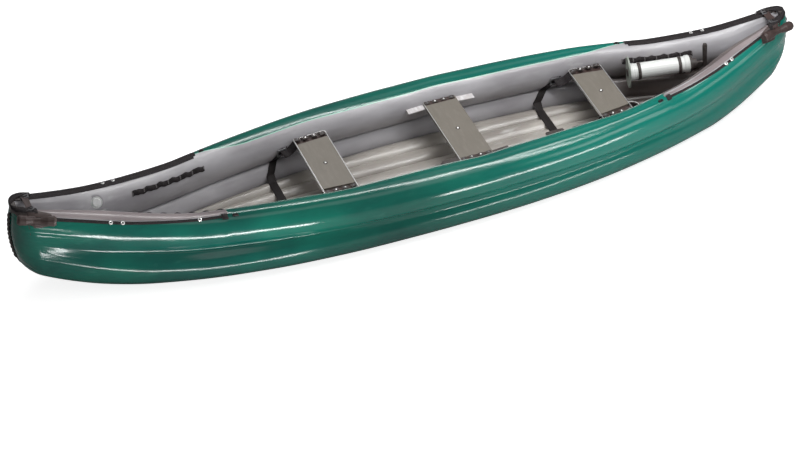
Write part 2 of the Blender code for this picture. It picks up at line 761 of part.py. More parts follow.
def make_rimmed_seat(seat_x, name, skins, tube_cutters):
    """Board in a metal rim. The rim and the board ends rest on a bracket at each tube."""
    bottom = SEAT_TOP - BOARD_THICKNESS
    half = SEAT_WIDTH / 2
    outer = seat_outline(seat_x, half, 0, RIM_CORNER)
    inner = seat_outline(seat_x, half - RIM_WIDTH, RIM_WIDTH, RIM_CORNER - RIM_WIDTH)
    make_object(f"{name}_rim", ring_plate(outer, inner, bottom, bottom + RIM_HEIGHT), skins["aluminium"])
    board = seat_outline(seat_x, half - RIM_WIDTH - GAP, BOARD_END_SETBACK, BOARD_CORNER)
    make_object(f"{name}_board", plate(board, bottom, SEAT_TOP), skins["board"])
    for side, side_name in ((PORT, "port"), (STARBOARD, "starboard")):
        bracket = bracket_shape(side, seat_x, SEAT_WIDTH - 0.012, bottom - GAP, BRACKET_REACH, BRACKET_DROP)
        node = make_object(f"{name}_{side_name}_bracket", bracket, skins["rubber"])
        combine(node, tube_cutters[side, True], "DIFFERENCE")


def bracket_shape(side, middle_x, length, top, reach, drop):
    """Angle bracket: a flange under the seat and a leg that is glued down the inner face of the tube."""
    rings = []
    for x in stations(middle_x - length / 2, middle_x + length / 2):
        face = inner_edge(x, True)
        buried = face + 0.02
        leg = face - BRACKET_THICKNESS
        section = [
            (face - reach, top),
            (buried, top),
            (buried, top - drop),
            (leg, top - drop),
            (leg, top - BRACKET_THICKNESS),
            (face - reach, top - BRACKET_THICKNESS),
        ]
        rings.append([(x, side * y, z) for y, z in section])
    return loft(rings)


def make_centre_seat(skins, tube_cutters):
    bottom = SEAT_TOP - BOARD_THICKNESS
    outline = seat_outline(CENTRE_SEAT_X, SEAT_WIDTH / 2, 0, BOARD_CORNER)
    make_object("centre_seat_board", plate(outline, bottom, SEAT_TOP), skins["board"])
    for side, side_name in ((PORT, "port"), (STARBOARD, "starboard")):
        rail = bracket_shape(side, CENTRE_SEAT_X, RAIL_LENGTH, bottom - GAP, RAIL_REACH, RAIL_DROP)
        node = make_object(f"centre_seat_{side_name}_rail", rail, skins["aluminium"])
        combine(node, tube_cutters[side, True], "DIFFERENCE")


# Thigh straps

def thigh_strap_stops(floor_x, seat_x):
    """Webbing from a seat end down the inner faces of the tubes, across the floor and up the other side."""
    start_x = seat_x - math.copysign(STRAP_START_BACK, seat_x - floor_x)
    stops = []
    for side in (PORT, STARBOARD):
        climb = []
        for upper, angle, share in THIGH_STRAP_ROUTE:
            x = start_x + (floor_x - start_x) * share
            climb.append(along_tube(side, upper, x, angle, WEBBING_WIDTH))
        stops += climb if side == PORT else climb[::-1]
        if side == PORT:
            stops += [across_floor(floor_x, share) for share in (-0.8, -0.4, 0.0, 0.4, 0.8)]
    return stops


def across_floor(floor_x, share):
    y = share * floor_half_width(floor_x)
    lanes = (-0.5, 0, 0.5)
    return lambda lift: [
        Vector((floor_x + lane * WEBBING_WIDTH, y, FLOOR_TOP + max(GAP, lift - STRAP_STANDOFF + GAP))) for lane in lanes
    ]


def make_thigh_strap(floor_x, seat_x, name, skins, tube_cutters):
    stops = thigh_strap_stops(floor_x, seat_x)
    strap = make_object(f"{name}_thigh_strap", strap_shape(stops, WEBBING_THICKNESS), skins["webbing"])
    for cutter in tube_cutters.values():
        combine(strap, cutter, "DIFFERENCE")
    lift = STRAP_STANDOFF + WEBBING_THICKNESS + BUCKLE_STANDOFF + BUCKLE_THICKNESS / 2
    fore_edge, seat_point, aft_edge = stops[-2](lift)
    across = (aft_edge - fore_edge).normalized()
    along = stops[-3](lift)[1] - stops[-1](lift)[1]
    along = (along - across * along.dot(across)).normalized()
    frame = Matrix((along, across, along.cross(across))).transposed().to_4x4()
    frame.translation = seat_point
    corners = [(-0.5, -0.5), (0.5, -0.5), (0.5, 0.5), (-0.5, 0.5)]
    outline = rounded_outline([(x * BUCKLE_LENGTH, y * BUCKLE_WIDTH) for x, y in corners], 0.004, 2)
    slot = rounded_outline([(x * 0.55 * BUCKLE_LENGTH, y * 0.8 * BUCKLE_WIDTH) for x, y in corners], 0.003, 2)
    shape = ring_plate(outline, slot, -BUCKLE_THICKNESS / 2, BUCKLE_THICKNESS / 2)
    make_object(f"{name}_strap_buckle", shape, skins["plastic"], frame)


# Hand pump

def pump_frame():
    """Frame of the pump at its foot, with X along it. It keeps its distance from the starboard tube."""
    reach = PUMP_LENGTH + GLAND_LENGTH + GLAND_NECK + HANDLE_STANDOFF
    foot_y = inner_edge(PUMP_FOOT_X, True) - PUMP_FOOT_FROM_TUBE
    bar_y = inner_edge(PUMP_FOOT_X + reach, True) - PUMP_BAR_FROM_TUBE
    yaw = math.atan2(bar_y - foot_y, reach)
    turn = Matrix.Rotation(yaw, 4, "Z") @ Matrix.Rotation(math.radians(-PUMP_PITCH), 4, "Y")
    return Matrix.Translation((PUMP_FOOT_X, foot_y, PUMP_FOOT_HEIGHT)) @ turn


def make_pump(skins, tube_cutters):
    frame = pump_frame()
    along = (1, 0, 0)
    bore = PUMP_RADIUS - PUMP_WALL
    barrel = [
        (0, 0), (PUMP_RADIUS + 0.002, 0), (PUMP_RADIUS + 0.002, 0.03), (PUMP_RADIUS, 0.034),
        (PUMP_RADIUS, PUMP_LENGTH), (bore, PUMP_LENGTH), (bore, 0.012), (0, 0.012),
    ]
    make_object("pump_barrel", turned(barrel, PUMP_SIDES, along), skins["white"], frame)

    half_h, half_w = FOOT_PLATE_HEIGHT / 2, FOOT_PLATE_WIDTH / 2
    corners = [(-half_h, -half_w), (half_h, -half_w), (half_h, half_w), (-half_h, half_w)]
    outline = rounded_outline(corners, half_w * 0.98, 6)
    foot = plate(outline, 0, FOOT_PLATE_THICKNESS)
    stand = frame @ Matrix.Translation((-FOOT_PLATE_THICKNESS - GAP, 0, 0)) @ Matrix.Rotation(math.pi / 2, 4, "Y")
    make_object("pump_foot_plate", foot, skins["grey_plastic"], stand)

    hole = ROD_RADIUS + ROD_FIT
    start = PUMP_LENGTH + GAP
    gland = [
        (hole, start), (PUMP_RADIUS, start), (PUMP_RADIUS + 0.003, start + 0.004),
        (PUMP_RADIUS + 0.003, start + 0.024), (PUMP_RADIUS - 0.004, start + GLAND_LENGTH),
        (GLAND_NECK_RADIUS, start + GLAND_LENGTH + 0.002),
        (GLAND_NECK_RADIUS - 0.006, start + GLAND_LENGTH + GLAND_NECK), (hole, start + GLAND_LENGTH + GLAND_NECK),
    ]
    make_object("pump_gland_nut", turned(gland, PUMP_SIDES, along), skins["white"], frame)

    handle_at = PUMP_LENGTH + GLAND_LENGTH + GLAND_NECK + HANDLE_STANDOFF
    piston_at = 0.012 + 0.045
    rod = [(0, piston_at), (ROD_RADIUS, piston_at), (ROD_RADIUS, handle_at), (0, handle_at)]
    plunger = make_object("pump_plunger", turned(rod, 12, along), skins["webbing"], frame)
    half_bar = HANDLE_LENGTH / 2
    bar = [
        (0, -half_bar), (HANDLE_RADIUS * 0.8, -half_bar), (HANDLE_RADIUS, -half_bar * 0.9),
        (HANDLE_RADIUS * 0.9, 0), (HANDLE_RADIUS, half_bar * 0.9), (HANDLE_RADIUS * 0.8, half_bar), (0, half_bar),
    ]
    bar_frame = frame @ Matrix.Translation((handle_at, 0, 0))
    cross_bar = make_object("plunger_cross_bar", turned(bar, 12), place=bar_frame)
    combine(plunger, cross_bar, "UNION")

    piston_radius = bore - PISTON_FIT
    rod_hole = ROD_RADIUS + GAP
    piston_end = piston_at + 0.004 + PISTON_THICKNESS
    piston = [
        (rod_hole, piston_at + 0.004), (piston_radius, piston_at + 0.004), (piston_radius, piston_end),
        (rod_hole, piston_end),
    ]
    make_object("pump_piston", turned(piston, PUMP_SIDES, along), skins["rubber"], frame)

    for name, where in (("pump_fore_strap", 0.045), ("pump_aft_strap", PUMP_LENGTH - 0.035)):
        make_pump_strap(name, where, frame, skins, tube_cutters)


def make_pump_strap(name, where, frame, skins, tube_cutters):
    """Webbing band round the barrel, with a tail that reaches the starboard tube."""
    inner = PUMP_RADIUS + GAP
    outer = inner + PUMP_BAND_THICKNESS
    band = [(inner, where), (outer, where), (outer, where + PUMP_BAND_WIDTH), (inner, where + PUMP_BAND_WIDTH)]
    node = make_object(name, turned(band, PUMP_SIDES, (1, 0, 0)), skins["webbing"], frame)
    tail_size = (PUMP_BAND_WIDTH, PUMP_TAIL_LENGTH, PUMP_BAND_THICKNESS)
    centre = (where + PUMP_BAND_WIDTH / 2, PUMP_TAIL_LENGTH / 2, PUMP_TAIL_HEIGHT)
    tail = make_object(f"{name}_tail", box(tail_size, centre), place=frame)
    low, high = where - 0.01, where + PUMP_BAND_WIDTH + 0.01
    core_profile = [(0, low), (inner + 0.001, low), (inner + 0.001, high), (0, high)]
    core = make_object(f"{name}_core", turned(core_profile, PUMP_SIDES, (1, 0, 0)), place=frame)
    combine(tail, core, "DIFFERENCE")
    combine(node, tail, "UNION")
    combine(node, tube_cutters[STARBOARD, True], "DIFFERENCE")


# Sump

def sump_outline(shrink):
    half_l, half_w = SUMP_LENGTH / 2 - shrink, SUMP_WIDTH / 2 - shrink
    corners = [(-half_l, -half_w), (half_l, -half_w), (half_l, half_w), (-half_l, half_w)]
    return [(SUMP_X + x, y) for x, y in rounded_outline(corners, SUMP_CORNER - shrink)]


def make_sump(floor, skins):
    """Drain tray let into the mat, with a quarter-turn plug in its bottom."""
    hole = make_object("sump_hole", plate(sump_outline(-GAP), -0.1, FLOOR_TOP + 0.1))
    combine(floor, hole, "DIFFERENCE")
    rim_low = FLOOR_TOP + GAP
    tray = make_object("sump_tray", plate(sump_outline(0), SUMP_FLOOR - SUMP_WALL, rim_low + 0.001), skins["rubber"])
    flange = plate(sump_outline(-SUMP_RIM), rim_low, rim_low + 0.003)
    combine(tray, make_object("sump_flange", flange), "UNION")
    inside = make_object("sump_inside", plate(sump_outline(SUMP_WALL), SUMP_FLOOR, FLOOR_TOP + 0.05))
    combine(tray, inside, "DIFFERENCE")
    place = Matrix.Translation((SUMP_X, 0, SUMP_FLOOR))
    bore = [(0, 0.02), (PLUG_RADIUS + GAP, 0.02), (PLUG_RADIUS + GAP, -0.02), (0, -0.02)]
    combine(tray, make_object("plug_bore", turned(bore, 18), place=place), "DIFFERENCE")
    head = PLUG_RADIUS + 0.005
    plug_profile = [
        (0, PLUG_HEIGHT * 0.5), (head - 0.002, PLUG_HEIGHT * 0.5), (head, PLUG_HEIGHT * 0.35), (head, GAP),
        (PLUG_RADIUS, GAP), (PLUG_RADIUS, -PLUG_HEIGHT), (0, -PLUG_HEIGHT),
    ]
    plug = make_object("drain_plug", turned(plug_profile, 18), skins["grey_plastic"], place)
    grip = box((2 * PLUG_RADIUS, 0.006, PLUG_GRIP + 0.004), (0, 0, PLUG_HEIGHT * 0.5 + PLUG_GRIP / 2 - 0.002))
    combine(plug, make_object("plug_grip", grip, place=place), "UNION")


# Carry handles

def make_carry_handle(end, grip_ends, hinge_lift, name, skins):
    """Waisted grip that hangs in a loop of webbing beside the port crown, with its origin on the hinge line."""
    crown = on_tube(PORT, True, end * CROSS_STRAP_X, 90)
    places = [crown + Vector((end * ahead, PORT * out, up)) for ahead, out, up in grip_ends]
    start, stop = sorted(places, key=lambda place: place.x)
    middle = (start + stop) / 2
    along = (stop - start).normalized()
    hinge = on_tube(PORT, True, end * CROSS_STRAP_X, GRIP_HINGE_ANGLE, hinge_lift)
    offset = (hinge - middle).dot(along)
    across = hinge - middle - along * offset
    reach = across.length
    across.normalize()
    frame = Matrix((along, across, along.cross(across))).transposed().to_4x4()
    frame.translation = middle
    half = GRIP_LENGTH / 2
    profile = [
        (0, -half), (GRIP_END_RADIUS * 0.75, -half), (GRIP_END_RADIUS, -half * 0.88),
        (GRIP_END_RADIUS * 0.96, -half * 0.55), (GRIP_WAIST_RADIUS, -half * 0.18), (GRIP_WAIST_RADIUS, half * 0.18),
        (GRIP_END_RADIUS * 0.96, half * 0.55), (GRIP_END_RADIUS, half * 0.88), (GRIP_END_RADIUS * 0.75, half), (0, half),
    ]
    handle = make_object(name, turned(profile, 14, (1, 0, 0)), skins["webbing"], frame)
    tail = box((GRIP_LOOP_WIDTH, reach, GRIP_LOOP_THICKNESS), (offset, reach / 2, 0.0))
    combine(handle, make_object(f"{name}_loop", tail, place=frame), "UNION")


def make_materials():
    return {
        "hull": finish("green_hull_rubber", (0.010, 0.130, 0.085), 0.28),
        "floor": finish("grey_floor_rubber", (0.42, 0.43, 0.42), 0.35),
        "webbing": finish("black_webbing", (0.018, 0.016, 0.017), 0.75),
        "rubber": finish("black_rubber", (0.030, 0.027, 0.026), 0.6),
        "valve": finish("grey_valve_plastic", (0.45, 0.46, 0.46), 0.35),
        "plastic": finish("buckle_plastic", (0.09, 0.09, 0.095), 0.45),
        "grey_plastic": finish("grey_green_plastic", (0.22, 0.24, 0.21), 0.45),
        "white": finish("white_pump_plastic", (0.75, 0.76, 0.75), 0.35),
        "aluminium": finish("brushed_aluminium", (0.70, 0.70, 0.68), 0.35, 1.0),
        "board": finish("grey_seat_board", (0.26, 0.25, 0.23), 0.5),
    }


def main():
    clear_scene()
    skins = make_materials()
    tubes, floor = make_hull(skins)
    cutters = make_tube_cutters()
    for end, end_name, strip_length in ((BOW, "bow", BOW_STRIP_LENGTH), (STERN, "stern", STERN_STRIP_LENGTH)):
        make_nose_cap(end, f"{end_name}_nose_cap", skins, cutters)
        make_cross_strap(end, f"{end_name}_cross_strap", skins)
        near, far = (CHAIN_FROM, CHAIN_TO) if end == BOW else (STERN_CHAIN_FROM, STERN_CHAIN_TO)
        for side, side_name in ((PORT, "port"), (STARBOARD, "starboard")):
            make_deck_strip(end, side, strip_length, f"{end_name}_{side_name}_deck_strip", skins, cutters)
            name = f"{end_name}_{side_name}_daisy_chain"
            make_daisy_chain(side, end * near, end * far, name, skins, cutters)
    make_valves(tubes, floor, skins)
    make_rimmed_seat(BOW_SEAT_X, "bow_seat", skins, cutters)
    make_rimmed_seat(STERN_SEAT_X, "stern_seat", skins, cutters)
    make_centre_seat(skins, cutters)
    make_thigh_strap(BOW_STRAP_X, BOW_SEAT_X, "bow", skins, cutters)
    make_thigh_strap(STERN_STRAP_X, STERN_SEAT_X, "stern", skins, cutters)
    make_pump(skins, cutters)
    make_sump(floor, skins)
    bow_grip = (BOW_GRIP_TIP_END, BOW_GRIP_COCKPIT_END)
    stern_grip = (STERN_GRIP_TIP_END, STERN_GRIP_COCKPIT_END)
    make_carry_handle(BOW, bow_grip, BOW_GRIP_HINGE_LIFT, "bow_carry_handle", skins)
    make_carry_handle(STERN, stern_grip, STERN_GRIP_HINGE_LIFT, "stern_carry_handle", skins)


main()
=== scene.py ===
"""Looks of the inflatable canoe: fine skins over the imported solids, materials, light and camera."""

import math

import bmesh
import bpy
import numpy as np
from mathutils import Matrix, Vector, noise


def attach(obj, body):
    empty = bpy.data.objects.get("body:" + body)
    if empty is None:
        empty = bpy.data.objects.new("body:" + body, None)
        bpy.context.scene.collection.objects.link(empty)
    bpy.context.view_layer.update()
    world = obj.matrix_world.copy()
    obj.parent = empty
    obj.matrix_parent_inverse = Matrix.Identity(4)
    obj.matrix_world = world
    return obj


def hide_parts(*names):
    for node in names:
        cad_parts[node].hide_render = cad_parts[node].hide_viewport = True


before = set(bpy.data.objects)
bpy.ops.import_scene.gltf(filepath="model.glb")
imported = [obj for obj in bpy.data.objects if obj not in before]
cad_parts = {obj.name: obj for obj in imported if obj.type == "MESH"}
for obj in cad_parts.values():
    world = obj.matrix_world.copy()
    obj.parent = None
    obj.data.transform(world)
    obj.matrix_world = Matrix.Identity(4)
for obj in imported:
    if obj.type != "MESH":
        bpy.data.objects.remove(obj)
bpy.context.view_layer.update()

# The hull's form, as in part.py
HALF_LENGTH = 2.225
HALF_BEAM = 0.475
TUBE_RADIUS = 0.106
HULL_HEIGHT = 0.38
NOSE_LENGTH = 0.105
NOSE_END_SHARE = 0.2
NOSE_TOP_ROUNDING = 0.008
NOSE_STEM_ROUNDING = 0.044
INNER_EDGE_LIMIT = 0.9
MEETING_SOFTNESS = {True: 0.04, False: 0.015}
# Where the tubes' inner edges meet, as a share of the half length, and how full they are, by (upper, stern)
INNER_EDGES = {(True, False): (0.80, 2.36), (True, True): (0.8315, 3.5), (False, False): (0.78, 1.95),
               (False, True): (0.755, 3.2)}
# Half width of the tip, power of the lower and of the upper plan, and fullness, by stern
PLANS = {False: (0.116, 2.87, 1.98, 1.42), True: (0.077, 2.31, 2.52, 1.11)}
# Rise, start as a share of the half length, and power, by stern
SHEERS = {False: (0.207, 0.573, 1.4), True: (0.169, 0.663, 1.5)}
KEELS = {False: (0.188, 0.69, 2.34), True: (0.204, 0.76, 1.53)}
BOW_SEAT_X = -0.511
CENTRE_SEAT_X = 0.257
STERN_SEAT_X = 1.113
SEAT_SQUEEZES = ((BOW_SEAT_X, 0.01124), (CENTRE_SEAT_X, 0.01575), (STERN_SEAT_X, 0.01461))
SQUEEZE_REACH = 0.15
GAP = 0.0003
FLOOR_BOW_END = -1.66
FLOOR_STERN_END = 1.6348
FLOOR_TOP = 0.122
FLOOR_BOTTOM = 0.006
LANE_GROOVE = 0.024
FLOOR_LANES = 5
PORT = -1
STARBOARD = 1
BOW = -1
STERN = 1
SIDES = ((PORT, "port"), (STARBOARD, "starboard"))
ENDS = ((BOW, "bow"), (STERN, "stern"))


def nose_share(x):
    """How much of the hull's width is left at a place in the rounding of the nose."""
    along = (abs(x) - (HALF_LENGTH - NOSE_LENGTH)) / NOSE_LENGTH
    if along <= 0:
        return 1.0
    return max(NOSE_END_SHARE, math.sqrt(max(0.0, 1 - along * along)))


def outer_half_width(x, upper):
    """Half width over the outside of the upper or lower tubes."""
    tip, lower_power, upper_power, fullness = PLANS[x > 0]
    fraction = min(1.0, abs(x) / HALF_LENGTH)
    full = (1 - fraction ** (upper_power if upper else lower_power)) ** fullness
    return (tip + (HALF_BEAM - tip) * full) * nose_share(x)


def sheer(x):
    """Height of the upper tubes' top."""
    rise, start, power = SHEERS[x > 0]
    past = max(0.0, abs(x) / HALF_LENGTH - start) / (1 - start)
    return HULL_HEIGHT + rise * past**power - NOSE_TOP_ROUNDING * (1 - nose_share(x))


def keel(x):
    """Height of the lower tubes' bottom."""
    rise, start, power = KEELS[x > 0]
    past = max(0.0, abs(x) / HALF_LENGTH - start) / (1 - start)
    return rise * past**power + NOSE_STEM_ROUNDING * (1 - nose_share(x))


def free_inner_edge(x, upper):
    """Distance from the centre line to a tube's inner edge, before the seats press on it."""
    meeting, fullness = INNER_EDGES[upper, x > 0]
    softness = MEETING_SOFTNESS[upper]
    room = (HALF_BEAM - 2 * TUBE_RADIUS) * (1 - (abs(x) / (meeting * HALF_LENGTH)) ** fullness)
    return 0.5 * (room + math.sqrt(room * room + softness * softness))


def inner_edge(x, upper):
    """Distance from the centre line to a tube's inner edge. The seats press the upper tubes outward."""
    edge = free_inner_edge(x, upper)
    if upper:
        for seat_x, squeeze in SEAT_SQUEEZES:
            edge += squeeze * math.exp(-(((x - seat_x) / SQUEEZE_REACH) ** 2))
    return edge


def tube_section(x, upper):
    """Centre and radius of a tube's section, as (centre y, centre z, radius y, radius z)."""
    outer = outer_half_width(x, upper)
    inner = min(inner_edge(x, upper), INNER_EDGE_LIMIT * outer)
    top, bottom = sheer(x), keel(x)
    radius_z = (top - bottom) * TUBE_RADIUS / HULL_HEIGHT
    centre_z = top - radius_z if upper else bottom + radius_z
    return (outer + inner) / 2, centre_z, (outer - inner) / 2, radius_z


def skin_normal(side, upper, x, angle):
    """Outward direction of a tube's skin, at an angle up from its outboard side."""
    _, _, radius_y, radius_z = tube_section(x, upper)
    turn = math.radians(angle)
    return Vector((0, side * math.cos(turn) / radius_y, math.sin(turn) / radius_z)).normalized()


def on_tube(side, upper, x, angle, lift=0.0):
    """Point on a tube's skin, at an angle up from its outboard side."""
    centre_y, centre_z, radius_y, radius_z = tube_section(x, upper)
    turn = math.radians(angle)
    skin = Vector((x, side * (centre_y + radius_y * math.cos(turn)), centre_z + radius_z * math.sin(turn)))
    return skin + skin_normal(side, upper, x, angle) * lift


# Shader groups

# Height over which a skin's painted shading comes in, low down
FADE_DEPTH = 0.15


def group(name, colours, values):
    """Shader group with colours and values as inputs, which puts out a colour, a roughness and a height."""
    tree = bpy.data.node_groups.new(name, "ShaderNodeTree")
    for label in colours:
        tree.interface.new_socket(label, in_out="INPUT", socket_type="NodeSocketColor")
    for label, value in values.items():
        socket = tree.interface.new_socket(label, in_out="INPUT", socket_type="NodeSocketFloat")
        socket.default_value = value
    for label, kind in (("Colour", "Color"), ("Roughness", "Float"), ("Height", "Float")):
        tree.interface.new_socket(label, in_out="OUTPUT", socket_type=f"NodeSocket{kind}")
    start = tree.nodes.new("NodeGroupInput")
    end = tree.nodes.new("NodeGroupOutput")
    return tree, start.outputs, end.inputs


def node(tree, kind, links=(), **settings):
    """New node. A link's source is another node's socket or a plain value."""
    made = tree.nodes.new(kind)
    for key, value in settings.items():
        setattr(made, key, value)
    for socket, source in dict(links).items():
        if hasattr(source, "links"):
            tree.links.new(source, made.inputs[socket])
        else:
            made.inputs[socket].default_value = source
    return made


def maths(tree, operation, first, second=0.5, clamp=False):
    made = node(tree, "ShaderNodeMath", {0: first, 1: second}, operation=operation, use_clamp=clamp)
    return made.outputs[0]


def ramp(tree, value, low, high):
    """Value stretched so that low gives 0 and high gives 1."""
    made = node(tree, "ShaderNodeMapRange", {"Value": value, "From Min": low, "From Max": high})
    return made.outputs["Result"]


def mix_colour(tree, share, first, second):
    """Mix of two colours. Its sockets go by number, because those of every data type share their names."""
    return node(tree, "ShaderNodeMix", {0: share, 6: first, 7: second}, data_type="RGBA").outputs[2]


def fractal(tree, scale, detail=3.0, stretch=(1, 1, 1)):
    coordinates = node(tree, "ShaderNodeTexCoord").outputs["Object"]
    if stretch != (1, 1, 1):
        coordinates = node(tree, "ShaderNodeMapping", {"Vector": coordinates, "Scale": stretch}).outputs[0]
    links = {"Vector": coordinates, "Scale": scale, "Detail": detail}
    return node(tree, "ShaderNodeTexNoise", links).outputs[0]


def skin_group():
    """Coated fabric drawn tight by air: mottling, weave, scuffs, and painted shading toward the stern, low
    down, which stands in for light and shade there.

    The painted shading's places lie far past the stern unless a material gives its own, which leaves the
    painted shading out.
    """
    tree, given, out = group(
        "coated_skin", ("Colour", "Deep colour", "Scuff colour", "Fade colour"),
        {"Roughness": 0.3, "Scuffs": 0.2, "Fade start": 8.0, "Fade end": 9.0, "Fade height": 9.0},
    )
    broad = ramp(tree, fractal(tree, 2.2, 4.0, (1, 2.2, 2.2)), 0.34, 0.68)
    colour = mix_colour(tree, broad, given["Deep colour"], given["Colour"])
    marks = ramp(tree, fractal(tree, 26.0, 6.0, (0.35, 1, 1)), 0.56, 0.78)
    patches = ramp(tree, fractal(tree, 3.1, 2.0), 0.45, 0.7)
    scuffed = maths(tree, "MULTIPLY", maths(tree, "MULTIPLY", marks, patches), given["Scuffs"])
    colour = mix_colour(tree, scuffed, colour, given["Scuff colour"])
    coordinates = node(tree, "ShaderNodeTexCoord").outputs["Object"]
    place = node(tree, "ShaderNodeSeparateXYZ", {0: coordinates}).outputs
    # Painted shading: toward the stern and below the given height the colour turns to the painted shading
    # colour, which stands in for the light and shade there
    toward_stern = ramp(tree, place[0], given["Fade start"], given["Fade end"])
    fade_bottom = maths(tree, "SUBTRACT", given["Fade height"], FADE_DEPTH)
    low_down = ramp(tree, place[2], given["Fade height"], fade_bottom)
    faded = maths(tree, "MULTIPLY", toward_stern, low_down)
    tree.links.new(mix_colour(tree, faded, colour, given["Fade colour"]), out["Colour"])
    rough = maths(tree, "MULTIPLY", scuffed, 0.5)
    rough = maths(tree, "ADD", rough, maths(tree, "MULTIPLY", fractal(tree, 9.0, 3.0), 0.10))
    tree.links.new(maths(tree, "ADD", rough, given["Roughness"], clamp=True), out["Roughness"])
    ripple = maths(tree, "MULTIPLY", fractal(tree, 7.0, 2.0, (0.7, 1, 1)), 0.8)
    weave = maths(tree, "MULTIPLY", fractal(tree, 900.0, 1.0), 0.06)
    tree.links.new(maths(tree, "ADD", ripple, weave), out["Height"])
    return tree


def webbing_group():
    """Woven strap: ribs across its width and pale worn threads, by the strap's own length and width."""
    tree, given, out = group("webbing", ("Colour", "Thread colour"), {"Pitch": 900.0})
    uv = node(tree, "ShaderNodeUVMap", uv_map="strap").outputs[0]
    parts = node(tree, "ShaderNodeSeparateXYZ", {0: uv}).outputs
    along = maths(tree, "SINE", maths(tree, "MULTIPLY", parts[0], given["Pitch"]))
    across = maths(tree, "SINE", maths(tree, "MULTIPLY", parts[1], given["Pitch"]))
    weave = maths(tree, "MULTIPLY", along, across)
    fuzz = fractal(tree, 160.0, 4.0)
    lit = ramp(tree, maths(tree, "ADD", maths(tree, "MULTIPLY", weave, 0.25), fuzz), 0.45, 1.0)
    tree.links.new(mix_colour(tree, lit, given["Colour"], given["Thread colour"]), out["Colour"])
    tree.links.new(maths(tree, "ADD", maths(tree, "MULTIPLY", fuzz, 0.25), 0.55), out["Roughness"])
    tree.links.new(maths(tree, "MULTIPLY", weave, 0.5), out["Height"])
    return tree


def grain_group():
    """Moulded or brushed surface: grain stretched one way, handling marks and faint dust."""
    values = {"Scale": 60.0, "Roughness": 0.4, "Marks": 0.4}
    tree, given, out = group("grain", ("Colour", "Mark colour"), values)
    coordinates = node(tree, "ShaderNodeTexCoord").outputs["Object"]
    stretched = node(tree, "ShaderNodeMapping", {"Vector": coordinates, "Scale": (1, 0.12, 1)}).outputs[0]
    links = {"Vector": stretched, "Scale": given["Scale"], "Detail": 5.0}
    fine = node(tree, "ShaderNodeTexNoise", links).outputs[0]
    broad = fractal(tree, 8.0, 3.0)
    marks = ramp(tree, fractal(tree, 45.0, 6.0, (1, 0.3, 1)), 0.52, 0.8)
    share = maths(tree, "MULTIPLY", marks, given["Marks"])
    share = maths(tree, "ADD", share, maths(tree, "MULTIPLY", ramp(tree, fine, 0.3, 0.8), 0.22))
    share = maths(tree, "ADD", share, maths(tree, "MULTIPLY", ramp(tree, broad, 0.3, 0.7), 0.15), clamp=True)
    tree.links.new(mix_colour(tree, share, given["Colour"], given["Mark colour"]), out["Colour"])
    rough = maths(tree, "ADD", maths(tree, "MULTIPLY", fine, 0.18), given["Roughness"])
    tree.links.new(rough, out["Roughness"])
    tree.links.new(fine, out["Height"])
    return tree


SKIN = skin_group()
WEBBING = webbing_group()
GRAIN = grain_group()

# Materials

COAT_ROUGHNESS = 0.12
PALEST = (0.8, 0.8, 0.8)


def material(name, effect, bump=0.1, distance=0.001, metallic=0.0, coat=0.0, specular=0.5, **inputs):
    """Principled material whose colour, roughness and relief come from one of the shared effects."""
    made = bpy.data.materials.new(name)
    made.use_nodes = True
    tree = made.node_tree
    shader = tree.nodes["Principled BSDF"]
    shader.inputs["Metallic"].default_value = metallic
    shader.inputs["Coat Weight"].default_value = coat
    shader.inputs["Coat Roughness"].default_value = COAT_ROUGHNESS
    shader.inputs["Specular IOR Level"].default_value = specular
    look = tree.nodes.new("ShaderNodeGroup")
    look.node_tree = effect
    for key, value in inputs.items():
        socket = look.inputs[key.replace("_", " ").capitalize()]
        socket.default_value = (*value, 1.0) if isinstance(value, tuple) else value
    tree.links.new(look.outputs["Colour"], shader.inputs["Base Color"])
    tree.links.new(look.outputs["Roughness"], shader.inputs["Roughness"])
    links = {"Height": look.outputs["Height"], "Strength": bump, "Distance": distance}
    relief = node(tree, "ShaderNodeBump", links)
    tree.links.new(relief.outputs[0], shader.inputs["Normal"])
    return made


# The green's painted shading is a lighter teal toward the stern at every height: painted light, for the
# brighter light on the stern.
GREEN = material(
    "green_skin", SKIN, bump=0.35, distance=0.004, specular=0.55, roughness=0.10, scuffs=0.10,
    colour=(0.006, 0.131, 0.093), deep_colour=(0.005, 0.08, 0.064), scuff_colour=(0.112, 0.416, 0.304),
    fade_colour=(0.002, 0.195, 0.150), fade_start=-0.2, fade_end=2.2,
)
# The inner skin's painted shading is dark brown low down toward the stern: painted shade under the pump and
# aft of the stern seat.
GREY = material(
    "grey_inner_skin", SKIN, bump=0.45, distance=0.004, coat=0.15, roughness=0.30, scuffs=0.35,
    colour=(0.464, 0.456, 0.477), deep_colour=(0.304, 0.293, 0.31), scuff_colour=PALEST,
    fade_colour=(0.099, 0.08, 0.074), fade_start=1.02, fade_end=1.36, fade_height=0.37,
)
# The mat's painted shading is dark brown toward the stern: painted shade aft of the stern seat.
MAT_GREY = material(
    "grey_mat_skin", SKIN, bump=0.5, distance=0.004, coat=0.15, roughness=0.26, scuffs=0.55,
    colour=(0.392, 0.365, 0.333), deep_colour=(0.224, 0.203, 0.184), scuff_colour=PALEST,
    fade_colour=(0.088, 0.074, 0.067), fade_start=0.98, fade_end=1.22,
)
